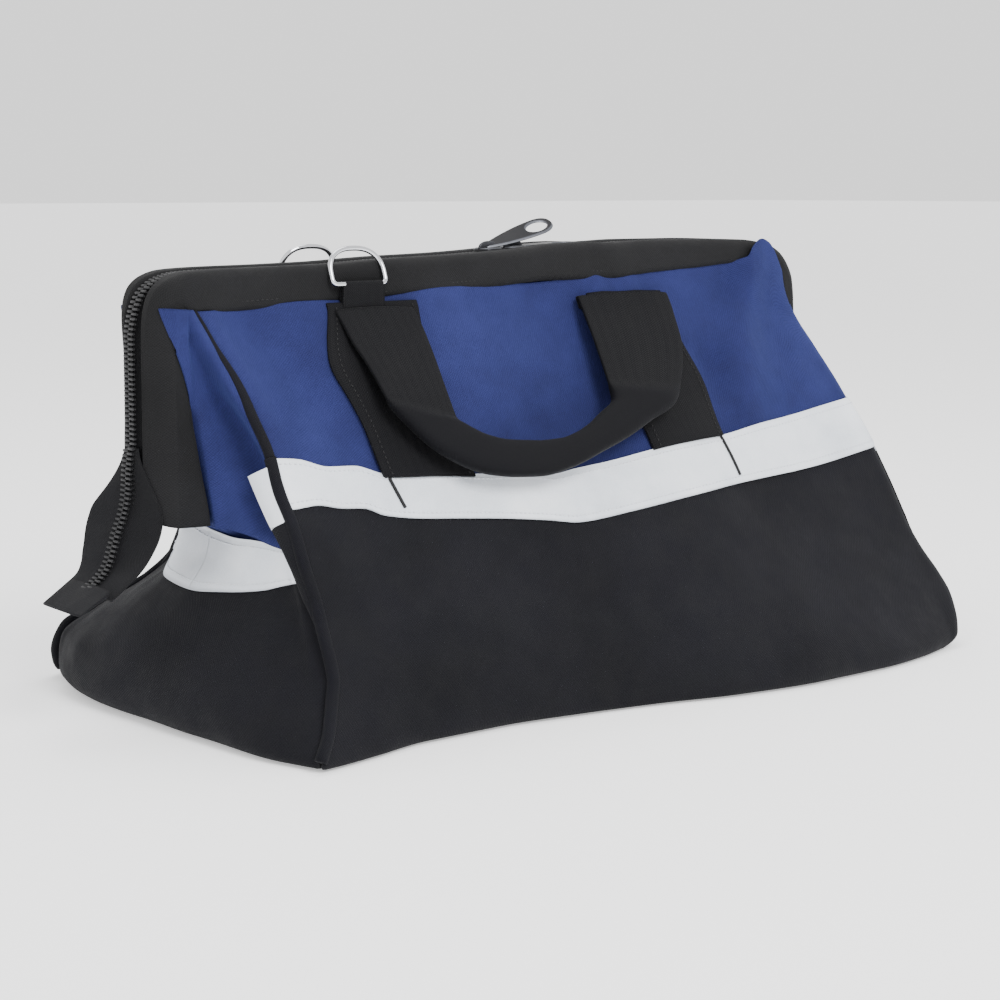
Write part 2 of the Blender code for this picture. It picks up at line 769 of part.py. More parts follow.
def make_ring(name, facing):
    bar = ring_bar(facing)
    half = RING_INNER_WIDTH / 2 + RING_WIRE
    points = [(-half, 0.0), (0.0, 0.0), (half, 0.0)]
    shoulder = RING_HEIGHT * RING_SHOULDER_SHARE
    steps = 12
    for step in range(steps + 1):
        turn = math.pi * step / steps
        points.append((half * math.cos(turn), shoulder + (RING_HEIGHT - shoulder) * math.sin(turn)))
    lean = -facing * RING_LEAN
    path = [
        bar + Vector((x, math.sin(lean) * rise, math.cos(lean) * rise)) for x, rise in points
    ]
    ring = wire(f"{name}_ring", path, RING_WIRE, "chrome", closed=True)
    return hang(f"{name}_ring_hinge", bar, [ring])


def make_ring_tab(name, facing):
    bar = ring_bar(facing)
    loop = RING_WIRE + GAP + RING_TAB_THICKNESS
    drop = bar.z - strap_top - RING_TAB_THICKNESS
    path = [(loop, -drop), (loop, -drop / 2)]
    path += arc((0.0, 0.0), loop, 0.0, math.pi, 8)
    path.append((-loop, -drop / 2))

    def webbing(across, along):
        out, rise = path[round(along * (len(path) - 1))]
        x = RING_TAB_X + mix(-0.5, 0.5, across) * RING_TAB_WIDTH
        return Vector((x, bar.y + facing * out, bar.z + rise))

    steps = (1, len(path) - 1)
    return sheet(f"{name}_ring_tab", webbing, steps, RING_TAB_THICKNESS, "webbing", towards=facing)


# Sliders and pulls

def slider_frame(x):
    pivot = bpy.data.objects.new(f"slider_seat_{round(x / MM)}", None)
    bag.objects.link(pivot)
    pivot.location = (x, 0.0, mouth_top_at(x))
    pivot.rotation_euler = (0.0, -mouth_angle, 0.0)
    return pivot


def make_slider(name, seat):
    bottom = -(ZIP_TAPE_DEPTH + ZIP_TAPE + GAP + SLIDER_PLATE)
    coil_top = -(ZIP_TAPE_DEPTH - GAP - 2 * COIL_RADIUS)
    under = coil_top + GAP
    deck = under + SLIDER_PLATE
    half_slider = SLIDER_LENGTH / 2
    half_width = SLIDER_WIDTH / 2
    web = SLIDER_WEB / 2
    bite = SLIDER_PLATE / 2
    outer = BRIDGE_LENGTH / 2
    roof = deck + BRIDGE_ROOM + BRIDGE_BAR
    body = box(
        f"{name}_slider", seat,
        (-half_slider, -half_width, under), (half_slider, half_width, deck), "dark_metal",
    )
    pieces = [
        ((-half_slider, -half_width, bottom), (half_slider, half_width, bottom + SLIDER_PLATE)),
        ((-outer, -web, bottom + bite), (outer, web, under + bite)),
        ((-outer, -BRIDGE_WIDTH / 2, deck - bite), (-outer + BRIDGE_BAR, BRIDGE_WIDTH / 2, roof)),
        ((outer - BRIDGE_BAR, -BRIDGE_WIDTH / 2, deck - bite), (outer, BRIDGE_WIDTH / 2, roof)),
        ((-outer, -BRIDGE_WIDTH / 2, roof - BRIDGE_BAR), (outer, BRIDGE_WIDTH / 2, roof)),
    ]
    for number, (low, high) in enumerate(pieces):
        block = box(f"{name}_slider_block_{number}", seat, low, high, "dark_metal")
        join = body.modifiers.new("Join", "BOOLEAN")
        join.operation = "UNION"
        join.object = block
        bag.objects.unlink(block)
        cutters.objects.link(block)
        block.hide_render = True
        block.display_type = "WIRE"
    return deck


def make_pull(name, seat, deck, angle):
    steps = 8
    start = -PULL_ROOT_BAR / 2
    tip = PULL_LENGTH - PULL_TIP_WIDTH / 2
    root = PULL_ROOT_WIDTH / 2
    outline = [(start, -root), (start + PULL_LENGTH / 2, -root)]
    outline += arc((tip, 0.0), PULL_TIP_WIDTH / 2, -math.pi / 2, math.pi / 2, steps)
    outline += [(start + PULL_LENGTH / 2, root), (start, root)]
    half = PULL_WINDOW_WIDTH / 2
    window_start = PULL_ROOT_BAR / 2
    window_end = window_start + PULL_WINDOW_LENGTH
    window = [(window_start, -half), (window_start, half), (window_end, half), (window_end, -half)]
    hole_radius = PULL_TIP_WIDTH / 2 - PULL_RIM
    near = PULL_LENGTH - PULL_RIM - PULL_HOLE_LENGTH + hole_radius
    hole = arc((near, 0.0), hole_radius, -math.pi / 2, -3 * math.pi / 2, steps)
    hole += arc((tip, 0.0), hole_radius, math.pi / 2, -math.pi / 2, steps)
    tag = plate(f"{name}_pull", [outline, window, hole], PULL_THICKNESS, "dark_metal")
    tag.parent = seat
    tag.location.z = deck + GAP + PULL_THICKNESS / 2
    tag.rotation_euler = (0.0, -angle, 0.0)


# Free ends of the zip

def tail_x(end, height):
    outer = MOUTH_LENGTH / 2 + GAP + TAIL_THICKNESS
    drop = (ZIP_TAPE_END - height) / (ZIP_TAPE_END - TAIL_BOTTOM)
    return MOUTH_SHIFT + end * (outer + TAIL_SLANT * max(drop, 0.0) ** TAIL_SLANT_POWER)


def make_tail(name, end):
    top = tilted(MOUTH_SHIFT + end * MOUTH_LENGTH / 2, ZIP_TAPE_END)

    def closed_end(across, along):
        depth = mix(-0.5, 0.5, across) * 2 * (SLEEVE_START - GAP)
        height = mix(TAIL_TOP, top - 2 * GAP, along)
        return Vector((tail_x(end, height), depth, height))

    seat = sheet(f"{name}_zip_end", closed_end, (1, 3), TAIL_THICKNESS, "black_cloth", towards=-end)

    def free_end(across, along):
        height = mix(TAIL_BOTTOM, TAIL_TOP - GAP, along)
        depth = mix(-0.5, 0.5, across) * TAIL_WIDTH
        return Vector((tail_x(end, height), depth, height))

    tail = sheet(f"{name}_zip_tail", free_end, (2, 6), TAIL_THICKNESS, "black_cloth", towards=-end)

    def tab(across, along):
        reach = tail_x(end, TAIL_BOTTOM) + end * TAIL_TAB_LENGTH * along
        height = TAIL_BOTTOM - GAP - TAIL_TAB_DROP * along
        return Vector((reach, mix(-0.5, 0.5, across) * TAIL_WIDTH, height))

    end_tab = sheet(f"{name}_tail_tab", tab, (2, 2), TAIL_TAB_THICKNESS, "black_cloth", towards=end)
    pivot = hang(f"{name}_tail_hinge", (tail_x(end, TAIL_TOP), 0.0, TAIL_TOP), [tail, end_tab])
    pivot.parent = seat


cutters = new_collection("cutters")
make_base()
make_lower_walls()
make_tapes()
upper_pipings = make_pipings()
mouth_hinges = {}
for side_name, side in DEPTH_SIDES:
    half = [
        make_upper_panel(side_name, side),
        make_sleeve(side_name, side),
        make_frame_rod(side_name, side),
        make_ring_tab(side_name, side),
        make_ring(side_name, side),
        make_carry_loop(side_name, side),
    ]
    half += make_zip_half(side_name, side)
    half += upper_pipings[side]
    for end_name, end_side in END_SIDES:
        half.append(make_upper_gusset(side_name, side, end_name, end_side))
        half.append(make_strap(side_name, side, end_name, end_side))
    mouth_hinges[side] = hang(f"{side_name}_mouth_hinge", mouth_hinge(side), half)
for slider_name, slider_x, angle in (
    ("left", LEFT_SLIDER_X, LEFT_PULL_ANGLE),
    ("right", LEFT_SLIDER_X + SLIDER_SPACING, RIGHT_PULL_ANGLE),
):
    slider_seat = slider_frame(slider_x)
    slider_deck = make_slider(slider_name, slider_seat)
    make_pull(slider_name, slider_seat, slider_deck, angle)
    slider_seat.parent = mouth_hinges[FRONT]
    slider_seat.location -= mouth_hinges[FRONT].location
for end_name, end_side in END_SIDES:
    make_tail(end_name, end_side)
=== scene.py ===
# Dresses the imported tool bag: cloth walls, seam band, webbing, zip and metal fittings
import math

import bpy
import numpy as np
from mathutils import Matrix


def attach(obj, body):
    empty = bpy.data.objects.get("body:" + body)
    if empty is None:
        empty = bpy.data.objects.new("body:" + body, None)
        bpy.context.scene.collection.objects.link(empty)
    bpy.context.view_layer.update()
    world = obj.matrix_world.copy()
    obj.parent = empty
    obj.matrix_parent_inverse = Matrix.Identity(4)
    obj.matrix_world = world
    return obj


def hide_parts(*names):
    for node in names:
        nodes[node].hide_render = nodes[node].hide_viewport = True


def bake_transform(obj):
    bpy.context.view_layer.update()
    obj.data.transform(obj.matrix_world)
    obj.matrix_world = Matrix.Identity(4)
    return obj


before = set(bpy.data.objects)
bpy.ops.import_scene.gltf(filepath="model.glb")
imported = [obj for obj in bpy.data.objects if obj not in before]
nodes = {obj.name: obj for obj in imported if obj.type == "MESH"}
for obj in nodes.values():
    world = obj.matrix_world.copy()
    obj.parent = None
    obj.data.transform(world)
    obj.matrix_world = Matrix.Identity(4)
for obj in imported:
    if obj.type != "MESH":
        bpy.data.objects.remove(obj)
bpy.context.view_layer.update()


mm = 0.001
print("frame loaded")

# camera, floor and light
view = {"place": (-0.64843, -0.81520, 0.24054), "turn": (81.4, 0.0, -38.0), "lens": 74.23, "sensor": 36.0}
studio = {"key": 39.0, "fill": 1.0, "top": 8.0, "sky": 1.4,
          "floor": (0.95, 0.95, 0.955), "floorGlow": 0.45, "floorFar": 30, "floorLevel": -0.0005}

cameraData = bpy.data.cameras.new("camera")
cameraData.lens = view["lens"]
cameraData.sensor_width = view["sensor"]
cameraData.clip_start = 0.01
camera = bpy.data.objects.new("camera", cameraData)
camera.location = view["place"]
camera.rotation_euler = [math.radians(v) for v in view["turn"]]
bpy.context.collection.objects.link(camera)
bpy.context.scene.camera = camera


def softLight(name, place, target, size, power):
    # a round area light whose back points away from its target
    lamp = bpy.data.lights.new(name, "AREA")
    lamp.shape = "DISK"
    lamp.size = size
    lamp.energy = power
    lampObject = bpy.data.objects.new(name, lamp)
    lampObject.location = place
    away = np.array(place, float) - np.array(target, float)
    flat = math.hypot(away[0], away[1])
    lampObject.rotation_euler = (math.atan2(flat, away[2]), 0.0, math.atan2(away[0], -away[1]))
    bpy.context.collection.objects.link(lampObject)


softLight("key", (-0.15, -1.55, 1.3), (0.0, 0.0, 0.1), 0.9, studio["key"])
softLight("fill", (-1.4, -0.5, 0.9), (0.0, 0.0, 0.1), 1.1, studio["fill"])
softLight("top", (0.1, 0.35, 1.5), (0.0, 0.0, 0.1), 1.0, studio["top"])

world = bpy.data.worlds.new("sky")
bpy.context.scene.world = world
world.use_nodes = True
world.node_tree.nodes["Background"].inputs["Color"].default_value = (1.0, 1.0, 1.0, 1.0)
world.node_tree.nodes["Background"].inputs["Strength"].default_value = studio["sky"]


# finishes
def tint(red, green, blue):
    # screen colour 0..255 to linear light
    shares = np.array((red, green, blue), float) / 255.0
    light = np.where(shares <= 0.04045, shares / 12.92, ((shares + 0.055) / 1.055) ** 2.4)
    return (*[float(v) for v in light], 1.0)


class Finish:
    # a material with short ways to add its nodes
    def __init__(self, name, **uniform):
        self.material = bpy.data.materials.new(name)
        self.material.use_nodes = True
        self.tree = self.material.node_tree
        self.shader = self.tree.nodes["Principled BSDF"]
        for socket, value in uniform.items():
            self.shader.inputs[socket.replace("_", " ")].default_value = value
        self.place = self.add("ShaderNodeTexCoord")

    def add(self, kind, sockets=None, **settings):
        # a node; a socket's value is either a number or another node's output
        node = self.tree.nodes.new(kind)
        for key, value in settings.items():
            setattr(node, key, value)
        for key, value in (sockets or {}).items():
            if isinstance(value, bpy.types.NodeSocket):
                self.tree.links.new(value, node.inputs[key])
            else:
                node.inputs[key].default_value = value
        return node

    def sum(self, operation, first, second=0.0, third=0.0):
        # one step of arithmetic between sockets and numbers
        return self.add("ShaderNodeMath", {0: first, 1: second, 2: third}, operation=operation).outputs[0]

    def noise(self, scale, detail=3.0, rough=0.55, where="Object"):
        # cloudy noise, so many clouds per metre
        return self.add("ShaderNodeTexNoise", {"Vector": self.place.outputs[where], "Scale": scale, "Detail": detail,
                                               "Roughness": rough}).outputs["Fac"]

    def stretch(self, value, low, high, toLow, toHigh):
        # from the range low..high to the range toLow..toHigh
        return self.add("ShaderNodeMapRange", {"Value": value, "From Min": low, "From Max": high,
                                               "To Min": toLow, "To Max": toHigh}).outputs["Result"]

    def colours(self, factor, stops):
        # a colour for each place from 0 to 1, blended between the stops
        ramp = self.add("ShaderNodeValToRGB", {"Fac": factor})
        band = ramp.color_ramp
        band.elements[0].position, band.elements[0].color = stops[0]
        band.elements[1].position, band.elements[1].color = stops[-1]
        for position, colour in stops[1:-1]:
            band.elements.new(position).color = colour
        return ramp.outputs["Color"]

    def put(self, socket, value):
        self.tree.links.new(value, self.shader.inputs[socket])

    def relief(self, layers):
        # layers of (height socket, depth in metres, strength), each bumping the one before
        normal = None
        for height, depth, strength in layers:
            sockets = {"Height": height, "Distance": depth, "Strength": strength}
            if normal is not None:
                sockets["Normal"] = normal
            normal = self.add("ShaderNodeBump", sockets).outputs["Normal"]
        self.put("Normal", normal)


def plainWeave(finish, pitch):
    # sin(u / pitch) * sin(v / pitch): a thread stands up at every second crossing
    parts = finish.add("ShaderNodeSeparateXYZ", {"Vector": finish.place.outputs["UV"]})
    across = finish.sum("SINE", finish.sum("MULTIPLY", parts.outputs["X"], math.pi / pitch))
    along = finish.sum("SINE", finish.sum("MULTIPLY", parts.outputs["Y"], math.pi / pitch))
    return finish.sum("MULTIPLY", across, along)


def clothFinish(name, dark, middle, light, pitch=0.0007, sheen=0.02, sheenColour=(1, 1, 1, 1), relief=0.5, shine=0.12):
    # shade = 0.55 cloud + 0.22 fibre + 0.2 crush + 0.07 weave, through the three colours
    finish = Finish(name, Sheen_Weight=sheen, Sheen_Roughness=0.45, Sheen_Tint=sheenColour, Specular_IOR_Level=shine)
    weave = plainWeave(finish, pitch)
    cloud = finish.noise(11.0, 4.0)
    fibre = finish.noise(1500.0, 2.0)
    crush = finish.noise(70.0, 5.0, 0.6)
    shade = finish.sum("MULTIPLY_ADD", cloud, 0.55, finish.sum("MULTIPLY", fibre, 0.22))
    shade = finish.sum("MULTIPLY_ADD", crush, 0.2, shade)
    shade = finish.sum("MULTIPLY_ADD", weave, 0.07, shade)
    finish.put("Base Color", finish.colours(shade, [(0.3, dark), (0.48, middle), (0.68, light)]))
    finish.put("Roughness", finish.stretch(crush, 0.3, 0.7, 0.7, 0.92))
    finish.relief([(crush, 0.0011, 0.35), (fibre, 0.0002, 0.3), (weave, 0.00022, relief)])
    return finish.material


def webbingFinish(name, dark, middle, light, rib=0.0024, step=0.0012):
    # herringbone: sin(2 pi (v + |u folded at each rib|) / step), with a fine cross rib on top
    finish = Finish(name, Sheen_Weight=0.02, Sheen_Roughness=0.4, Specular_IOR_Level=0.14)
    parts = finish.add("ShaderNodeSeparateXYZ", {"Vector": finish.place.outputs["UV"]})
    folded = finish.sum("PINGPONG", parts.outputs["X"], rib)
    slanted = finish.sum("ADD", parts.outputs["Y"], folded)
    twill = finish.sum("SINE", finish.sum("MULTIPLY", slanted, 2 * math.pi / step))
    cross = finish.sum("SINE", finish.sum("MULTIPLY", parts.outputs["X"], 2 * math.pi / 0.0011))
    # the edgeWear attribute is set only on the carrying loops, to the share of their rolled grip: there the weave fades
    # and the colour is darker
    plain = finish.add("ShaderNodeAttribute", attribute_name="edgeWear", attribute_type="GEOMETRY").outputs["Fac"]
    thread = finish.sum("MULTIPLY", finish.sum("MULTIPLY_ADD", cross, 0.35, twill),
                        finish.sum("MULTIPLY_ADD", plain, -0.8, 1.0))
    fibre = finish.noise(1300.0, 2.0)
    cloud = finish.noise(24.0, 4.0)
    shade = finish.sum("MULTIPLY_ADD", cloud, 0.4, finish.sum("MULTIPLY", fibre, 0.3))
    shade = finish.sum("MULTIPLY_ADD", thread, 0.055, shade)
    shade = finish.sum("MULTIPLY_ADD", plain, -0.16, shade)
    finish.put("Base Color", finish.colours(shade, [(0.22, dark), (0.42, middle), (0.66, light)]))
    finish.put("Roughness", finish.stretch(thread, -1.2, 1.2, 0.85, 0.62))
    finish.relief([(cloud, 0.0012, 0.3), (fibre, 0.00025, 0.3), (thread, 0.0002, 0.4)])
    return finish.material


def bandFinish():
    # smooth reflective band: fine beads, faint rubbed clouds
    finish = Finish("whiteBand", Sheen_Weight=0.1, Sheen_Roughness=0.3, Specular_IOR_Level=0.5)
    bead = finish.noise(2600.0, 1.0)
    cloud = finish.noise(26.0, 5.0, 0.6)
    weave = plainWeave(finish, 0.0005)
    shade = finish.sum("MULTIPLY_ADD", cloud, 0.7, finish.sum("MULTIPLY", bead, 0.3))
    finish.put("Base Color", finish.colours(shade, [(0.3, tint(196, 202, 210)), (0.5, tint(216, 221, 228)),
                                                    (0.7, tint(232, 235, 240))]))
    finish.put("Roughness", finish.stretch(cloud, 0.3, 0.7, 0.42, 0.6))
    finish.relief([(cloud, 0.0014, 0.4), (bead, 0.0001, 0.25), (weave, 0.0001, 0.3)])
    return finish.material


def metalFinish(name, deep, worn, metallic, rough, grain=260.0):
    # deep in the hollows and worn where the edgeWear attribute is high, with a fine speck in both
    finish = Finish(name, Metallic=metallic, Specular_IOR_Level=0.5)
    speck = finish.noise(grain, 4.0)
    smear = finish.noise(45.0, 4.0)
    edge = finish.add("ShaderNodeAttribute", attribute_name="edgeWear", attribute_type="GEOMETRY").outputs["Fac"]
    rubbed = finish.sum("MULTIPLY_ADD", edge, 0.75, finish.sum("MULTIPLY", speck, 0.35))
    finish.put("Base Color", finish.colours(rubbed, [(0.15, deep), (0.4, deep), (0.85, worn)]))
    finish.put("Roughness", finish.stretch(smear, 0.3, 0.7, rough[0], rough[1]))
    finish.relief([(speck, 0.0002, 0.12)])
    return finish.material


def plasticFinish(name, dark, light, rough, grain):
    # one fine speck drives colour, roughness and relief
    finish = Finish(name, Specular_IOR_Level=0.5)
    speck = finish.noise(grain, 3.0)
    finish.put("Base Color", finish.colours(speck, [(0.3, dark), (0.7, light)]))
    finish.put("Roughness", finish.stretch(speck, 0.3, 0.7, rough[0], rough[1]))
    finish.relief([(speck, 0.0002, 0.2)])
    return finish.material


blueCloth = clothFinish("blueCloth", tint(26, 28, 60), tint(36, 40, 80), tint(47, 52, 100), sheen=0.15,
                        sheenColour=(0.25, 0.36, 1, 1), shine=0.05)
blackCloth = clothFinish("blackCloth", tint(11, 11, 14), tint(17, 17, 21), tint(24, 24, 29))
sleeveCloth = clothFinish("sleeveCloth", tint(15, 15, 16), tint(24, 24, 25), tint(33, 33, 35), pitch=0.0006)
tapeCloth = clothFinish("zipTapeCloth", tint(14, 14, 16), tint(21, 21, 23), tint(29, 29, 32), pitch=0.0005, relief=0.7)
pipingCloth = clothFinish("pipingCloth", tint(9, 9, 13), tint(14, 14, 19), tint(21, 21, 28), pitch=0.0005, relief=0.7)
whiteBand = bandFinish()
webbing = webbingFinish("webbing", tint(5, 5, 9), tint(13, 13, 15), tint(24, 24, 27))
coilPlastic = plasticFinish("coilPlastic", tint(14, 14, 16), tint(28, 28, 31), (0.48, 0.62), 300.0)
darkMetal = metalFinish("darkMetal", tint(22, 22, 25), tint(96, 98, 104), 0.7, (0.3, 0.46))
chrome = metalFinish("chrome", tint(205, 206, 210), tint(232, 233, 236), 1.0, (0.07, 0.2), 120.0)
steel = metalFinish("steel", tint(120, 121, 124), tint(150, 151, 154), 1.0, (0.3, 0.4), 400.0)
boardPlastic = plasticFinish("boardPlastic", tint(30, 30, 32), tint(46, 46, 49), (0.55, 0.7), 180.0)
whiteThread = plasticFinish("whiteThread", tint(196, 200, 206), tint(236, 238, 242), (0.6, 0.75), 900.0)
darkThread = plasticFinish("darkThread", tint(5, 5, 6), tint(14, 14, 16), (0.7, 0.85), 900.0)
print("finishes made")


# curves and meshes
def smoothThrough(at, places, values):
    # cubic from point to point; the slope at a point is the harmonic mean of those beside it, nought at a turn
    x, y = np.asarray(places, float), np.asarray(values, float)
    columns = y.reshape(len(x), -1)
    run = np.diff(x)[:, None]
    rise = np.diff(columns, axis=0) / run
    before, after = rise[:-1], rise[1:]
    same = before * after > 0
    inner = np.where(same, 2 * before * after / np.where(same, before + after, 1.0), 0.0)
    slope = np.vstack([rise[:1], inner, rise[-1:]])
    at = np.asarray(at, float)
    flat = np.clip(at.ravel(), x[0], x[-1])
    k = np.clip(np.searchsorted(x, flat, side="right") - 1, 0, len(x) - 2)
    t = ((flat - x[k]) / np.diff(x)[k])[:, None]
    span = run[k]
    made = ((1 + 2 * t) * (1 - t) ** 2 * columns[k] + t * (1 - t) ** 2 * span * slope[k]
            + t * t * (3 - 2 * t) * columns[k + 1] + t * t * (t - 1) * span * slope[k + 1])
    return made.reshape(at.shape + y.shape[1:])


def smoothMap(us, vs, table, fine=(140, 110)):
    # the same cubic along v and then along u on a fine grid; in between, the grid's bilinear value
    rows = smoothThrough(np.linspace(vs[0], vs[-1], fine[1]), vs, np.asarray(table, float))
    grid = smoothThrough(np.linspace(us[0], us[-1], fine[0]), us, rows.T)

    def value(u, v):
        # bilinear between the four grid points round (u, v)
        i = np.clip((u - us[0]) / (us[-1] - us[0]), 0, 1) * (fine[0] - 1)
        j = np.clip((v - vs[0]) / (vs[-1] - vs[0]), 0, 1) * (fine[1] - 1)
        i0, j0 = np.minimum(i.astype(int), fine[0] - 2), np.minimum(j.astype(int), fine[1] - 2)
        a, b = i - i0, j - j0
        return ((grid[i0, j0] * (1 - a) + grid[i0 + 1, j0] * a) * (1 - b)
                + (grid[i0, j0 + 1] * (1 - a) + grid[i0 + 1, j0 + 1] * a) * b)

    return value


def unit(vectors):
    # v / |v| along the last axis
    return vectors / np.maximum(np.linalg.norm(vectors, axis=-1, keepdims=True), 1e-12)


def stack(*parts):
    # x, y and z arrays of matching shapes to points
    return np.stack(np.broadcast_arrays(*parts), axis=-1).astype(float)


def edgeWear(data, values):
    # how rubbed each point is, 0 to 1, for the finishes that read it; on the carrying loops it holds the share of the
    # rolled grip instead
    rubbed = data.attributes.new("edgeWear", "FLOAT", "POINT")
    rubbed.data.foreach_set("value", np.asarray(values, np.float32).ravel())


def mesh(name, points, faces, finish, uv=None, wear=None):
    # faces: arrays of corner numbers; a body whose volume counts negative is turned to face outwards
    points = np.asarray(points, float).reshape(-1, 3)
    lists = [np.asarray(part, int) for part in (faces if isinstance(faces, list) else [faces])]
    volume = 0.0
    for part in lists:
        for k in range(1, part.shape[1] - 1):
            a, b, c = points[part[:, 0]], points[part[:, k]], points[part[:, k + 1]]
            volume += float(np.einsum("ij,ij->i", a, np.cross(b, c)).sum())
    if volume < 0:
        lists = [part[:, ::-1] for part in lists]
    data = bpy.data.meshes.new(name)
    data.vertices.add(len(points))
    data.vertices.foreach_set("co", points.ravel())
    corners = np.concatenate([part.ravel() for part in lists])
    sizes = np.concatenate([np.full(len(part), part.shape[1]) for part in lists])
    data.loops.add(len(corners))
    data.loops.foreach_set("vertex_index", corners)
    data.polygons.add(len(sizes))
    data.polygons.foreach_set("loop_start", np.concatenate([[0], np.cumsum(sizes)[:-1]]))
    data.polygons.foreach_set("loop_total", sizes)
    data.polygons.foreach_set("use_smooth", np.ones(len(sizes), bool))
    if uv is not None:
        layer = data.uv_layers.new(name="cloth")
        layer.data.foreach_set("uv", np.asarray(uv, float).reshape(-1, 2)[corners].ravel())
    if wear is not None:
        edgeWear(data, wear)
    data.update(calc_edges=True)
    data.validate()
    data.materials.append(finish)
    made = bpy.data.objects.new(name, data)
    bpy.context.collection.objects.link(made)
    return made


def quads(rows, columns, start=0, wrapRows=False, wrapColumns=False):
    # the four corner numbers of every cell of a grid whose points count on along its rows
    i = np.arange(rows if wrapRows else rows - 1)
    j = np.arange(columns if wrapColumns else columns - 1)
    i, j = np.meshgrid(i, j, indexing="ij")
    nextI, nextJ = (i + 1) % rows, (j + 1) % columns
    corners = np.stack([i * columns + j, nextI * columns + j, nextI * columns + nextJ, i * columns + nextJ], -1)
    return (start + corners).reshape(-1, 4)


def ramp(value, start, length):
    # 0 up to the start, 1 past the length, straight between them; a negative length counts downwards
    return np.clip((value - start) / length, 0, 1)


def ease(share):
    # 3 s^2 - 2 s^3
    return share * share * (3 - 2 * share)


def travel(points):
    # distance of each point along its path
    return np.concatenate([[0.0], np.cumsum(np.linalg.norm(np.diff(points, axis=0), axis=1))])


def pick(at, reach, rows):
    # the rows' values at places along their path
    return np.stack([np.interp(at, reach, rows[:, k]) for k in range(rows.shape[1])], -1)


def lengths(points, axis):
    # distance along a grid's middle line, from its first point
    return travel(np.take(points, points.shape[1 - axis] // 2, axis=1 - axis))


def gridUv(points, shift=(0.0, 0.0)):
    # u and v are the distances in metres along the grid's two middle lines
    u, v = np.meshgrid(lengths(points, 0) + shift[0], lengths(points, 1) + shift[1], indexing="ij")
    return np.stack([u, v], -1)


def normals(points):
    # cross product of the grid's two directions
    return unit(np.cross(np.gradient(points, axis=0), np.gradient(points, axis=1)))


foldedEdge = 0.35  # share of a sheet's thickness


def panel(name, points, thick, facing, finish, uv=None):
    # a sheet: the given grid is its outer face, its inner face lies one thickness behind along the normal
    across = normals(points)
    if float((across.reshape(-1, 3) @ np.asarray(facing, float)).mean()) < 0:
        across = -across
    rows, columns = points.shape[:2]
    count = rows * columns
    # the outer face's edge drops by a share of the thickness, so that it reads as folded cloth
    edge = np.zeros((rows, columns))
    edge[[0, -1], :] = foldedEdge
    edge[:, [0, -1]] = foldedEdge
    outer, inner = points - across * (edge[..., None] * thick), points - across * thick
    front = quads(rows, columns)
    back = quads(rows, columns, count)[:, ::-1]
    rim = np.concatenate([np.arange(columns), np.arange(1, rows) * columns + columns - 1,
                          (rows - 1) * columns + np.arange(columns - 2, -1, -1), np.arange(rows - 2, 0, -1) * columns])
    after = np.roll(rim, -1)
    side = np.stack([after, rim, rim + count, after + count], -1)
    flat = gridUv(points) if uv is None else uv
    return mesh(name, np.concatenate([outer, inner]), np.concatenate([front, back, side]), finish,
                np.concatenate([flat.reshape(-1, 2)] * 2))


def tube(name, rings, finish, wear=None, closedPath=False):
    # a skin over cross-sections (rows) of the same number of points, closed by a fan at each end
    rows, columns = rings.shape[:2]
    faces = [quads(rows, columns, wrapRows=closedPath, wrapColumns=True)]
    points = rings.reshape(-1, 3)
    around = np.linalg.norm(np.diff(np.concatenate([rings[:, :], rings[:, :1]], 1), axis=1), axis=2).mean(0)
    u = np.concatenate([[0.0], np.cumsum(around)[:-1]])
    v = travel(rings.mean(1))
    uv = np.stack(np.meshgrid(v, u, indexing="ij")[::-1], -1).reshape(-1, 2)
    if not closedPath:
        centres = np.stack([rings[0].mean(0), rings[-1].mean(0)])
        j = np.arange(columns)
        nextJ = (j + 1) % columns
        lastRow = (rows - 1) * columns
        first = np.stack([np.full(columns, len(points)), nextJ, j], -1)
        last = np.stack([np.full(columns, len(points) + 1), lastRow + j, lastRow + nextJ], -1)
        faces += [first[:, ::-1], last[:, ::-1]]
        points = np.concatenate([points, centres])
        uv = np.concatenate([uv, uv[:1], uv[-1:]])
        if wear is not None:
            wear = np.concatenate([np.asarray(wear).ravel(), [0.0, 0.0]])
    return mesh(name, points, faces, finish, uv, wear)


def oval(count, wide, high, square=2.0):
    # superellipse |a/wide|^n + |b/high|^n = 1
    angle = np.linspace(0, 2 * np.pi, count, endpoint=False)
    c, s = np.cos(angle), np.sin(angle)
    return np.stack([wide * np.sign(c) * np.abs(c) ** (2 / square),
                     high * np.sign(s) * np.abs(s) ** (2 / square)], -1)


def alongCurve(points, count):
    # the same number of steps of equal length along a smooth curve through the points
    points = np.asarray(points, float)
    reach = travel(points)
    dense = smoothThrough(np.linspace(0, reach[-1], 1500), reach, points)
    real = travel(dense)
    return pick(np.linspace(0, real[-1], count), real, dense)


def sweep(name, line, section, up, finish, swell=None):
    # section (a, b) carried along the line: point = line + a * side + b * up
    ahead = unit(np.gradient(line, axis=0))
    side = unit(np.cross(ahead, np.broadcast_to(np.asarray(up, float), line.shape)))
    top = unit(np.cross(side, ahead))
    size = np.ones(len(line)) if swell is None else swell
    rings = (line[:, None] + side[:, None] * (section[None, :, 0] * size[:, None])[..., None]
             + top[:, None] * (section[None, :, 1] * size[:, None])[..., None])
    return tube(name, rings, finish)


def repeated(name, shape, faces, origins, frames, finish, wear=None):
    # one small shape put at each origin, turned by its frame (columns: along, across, out)
    points = origins[:, None] + np.einsum("kc,ncd->nkd", shape, frames)
    shift = (np.arange(len(origins)) * len(shape))[:, None, None]
    lists = [(part[None] + shift).reshape(-1, part.shape[1]) for part in faces]
    grain = None if wear is None else np.tile(wear, len(origins))
    return mesh(name, points, lists, finish, wear=grain)


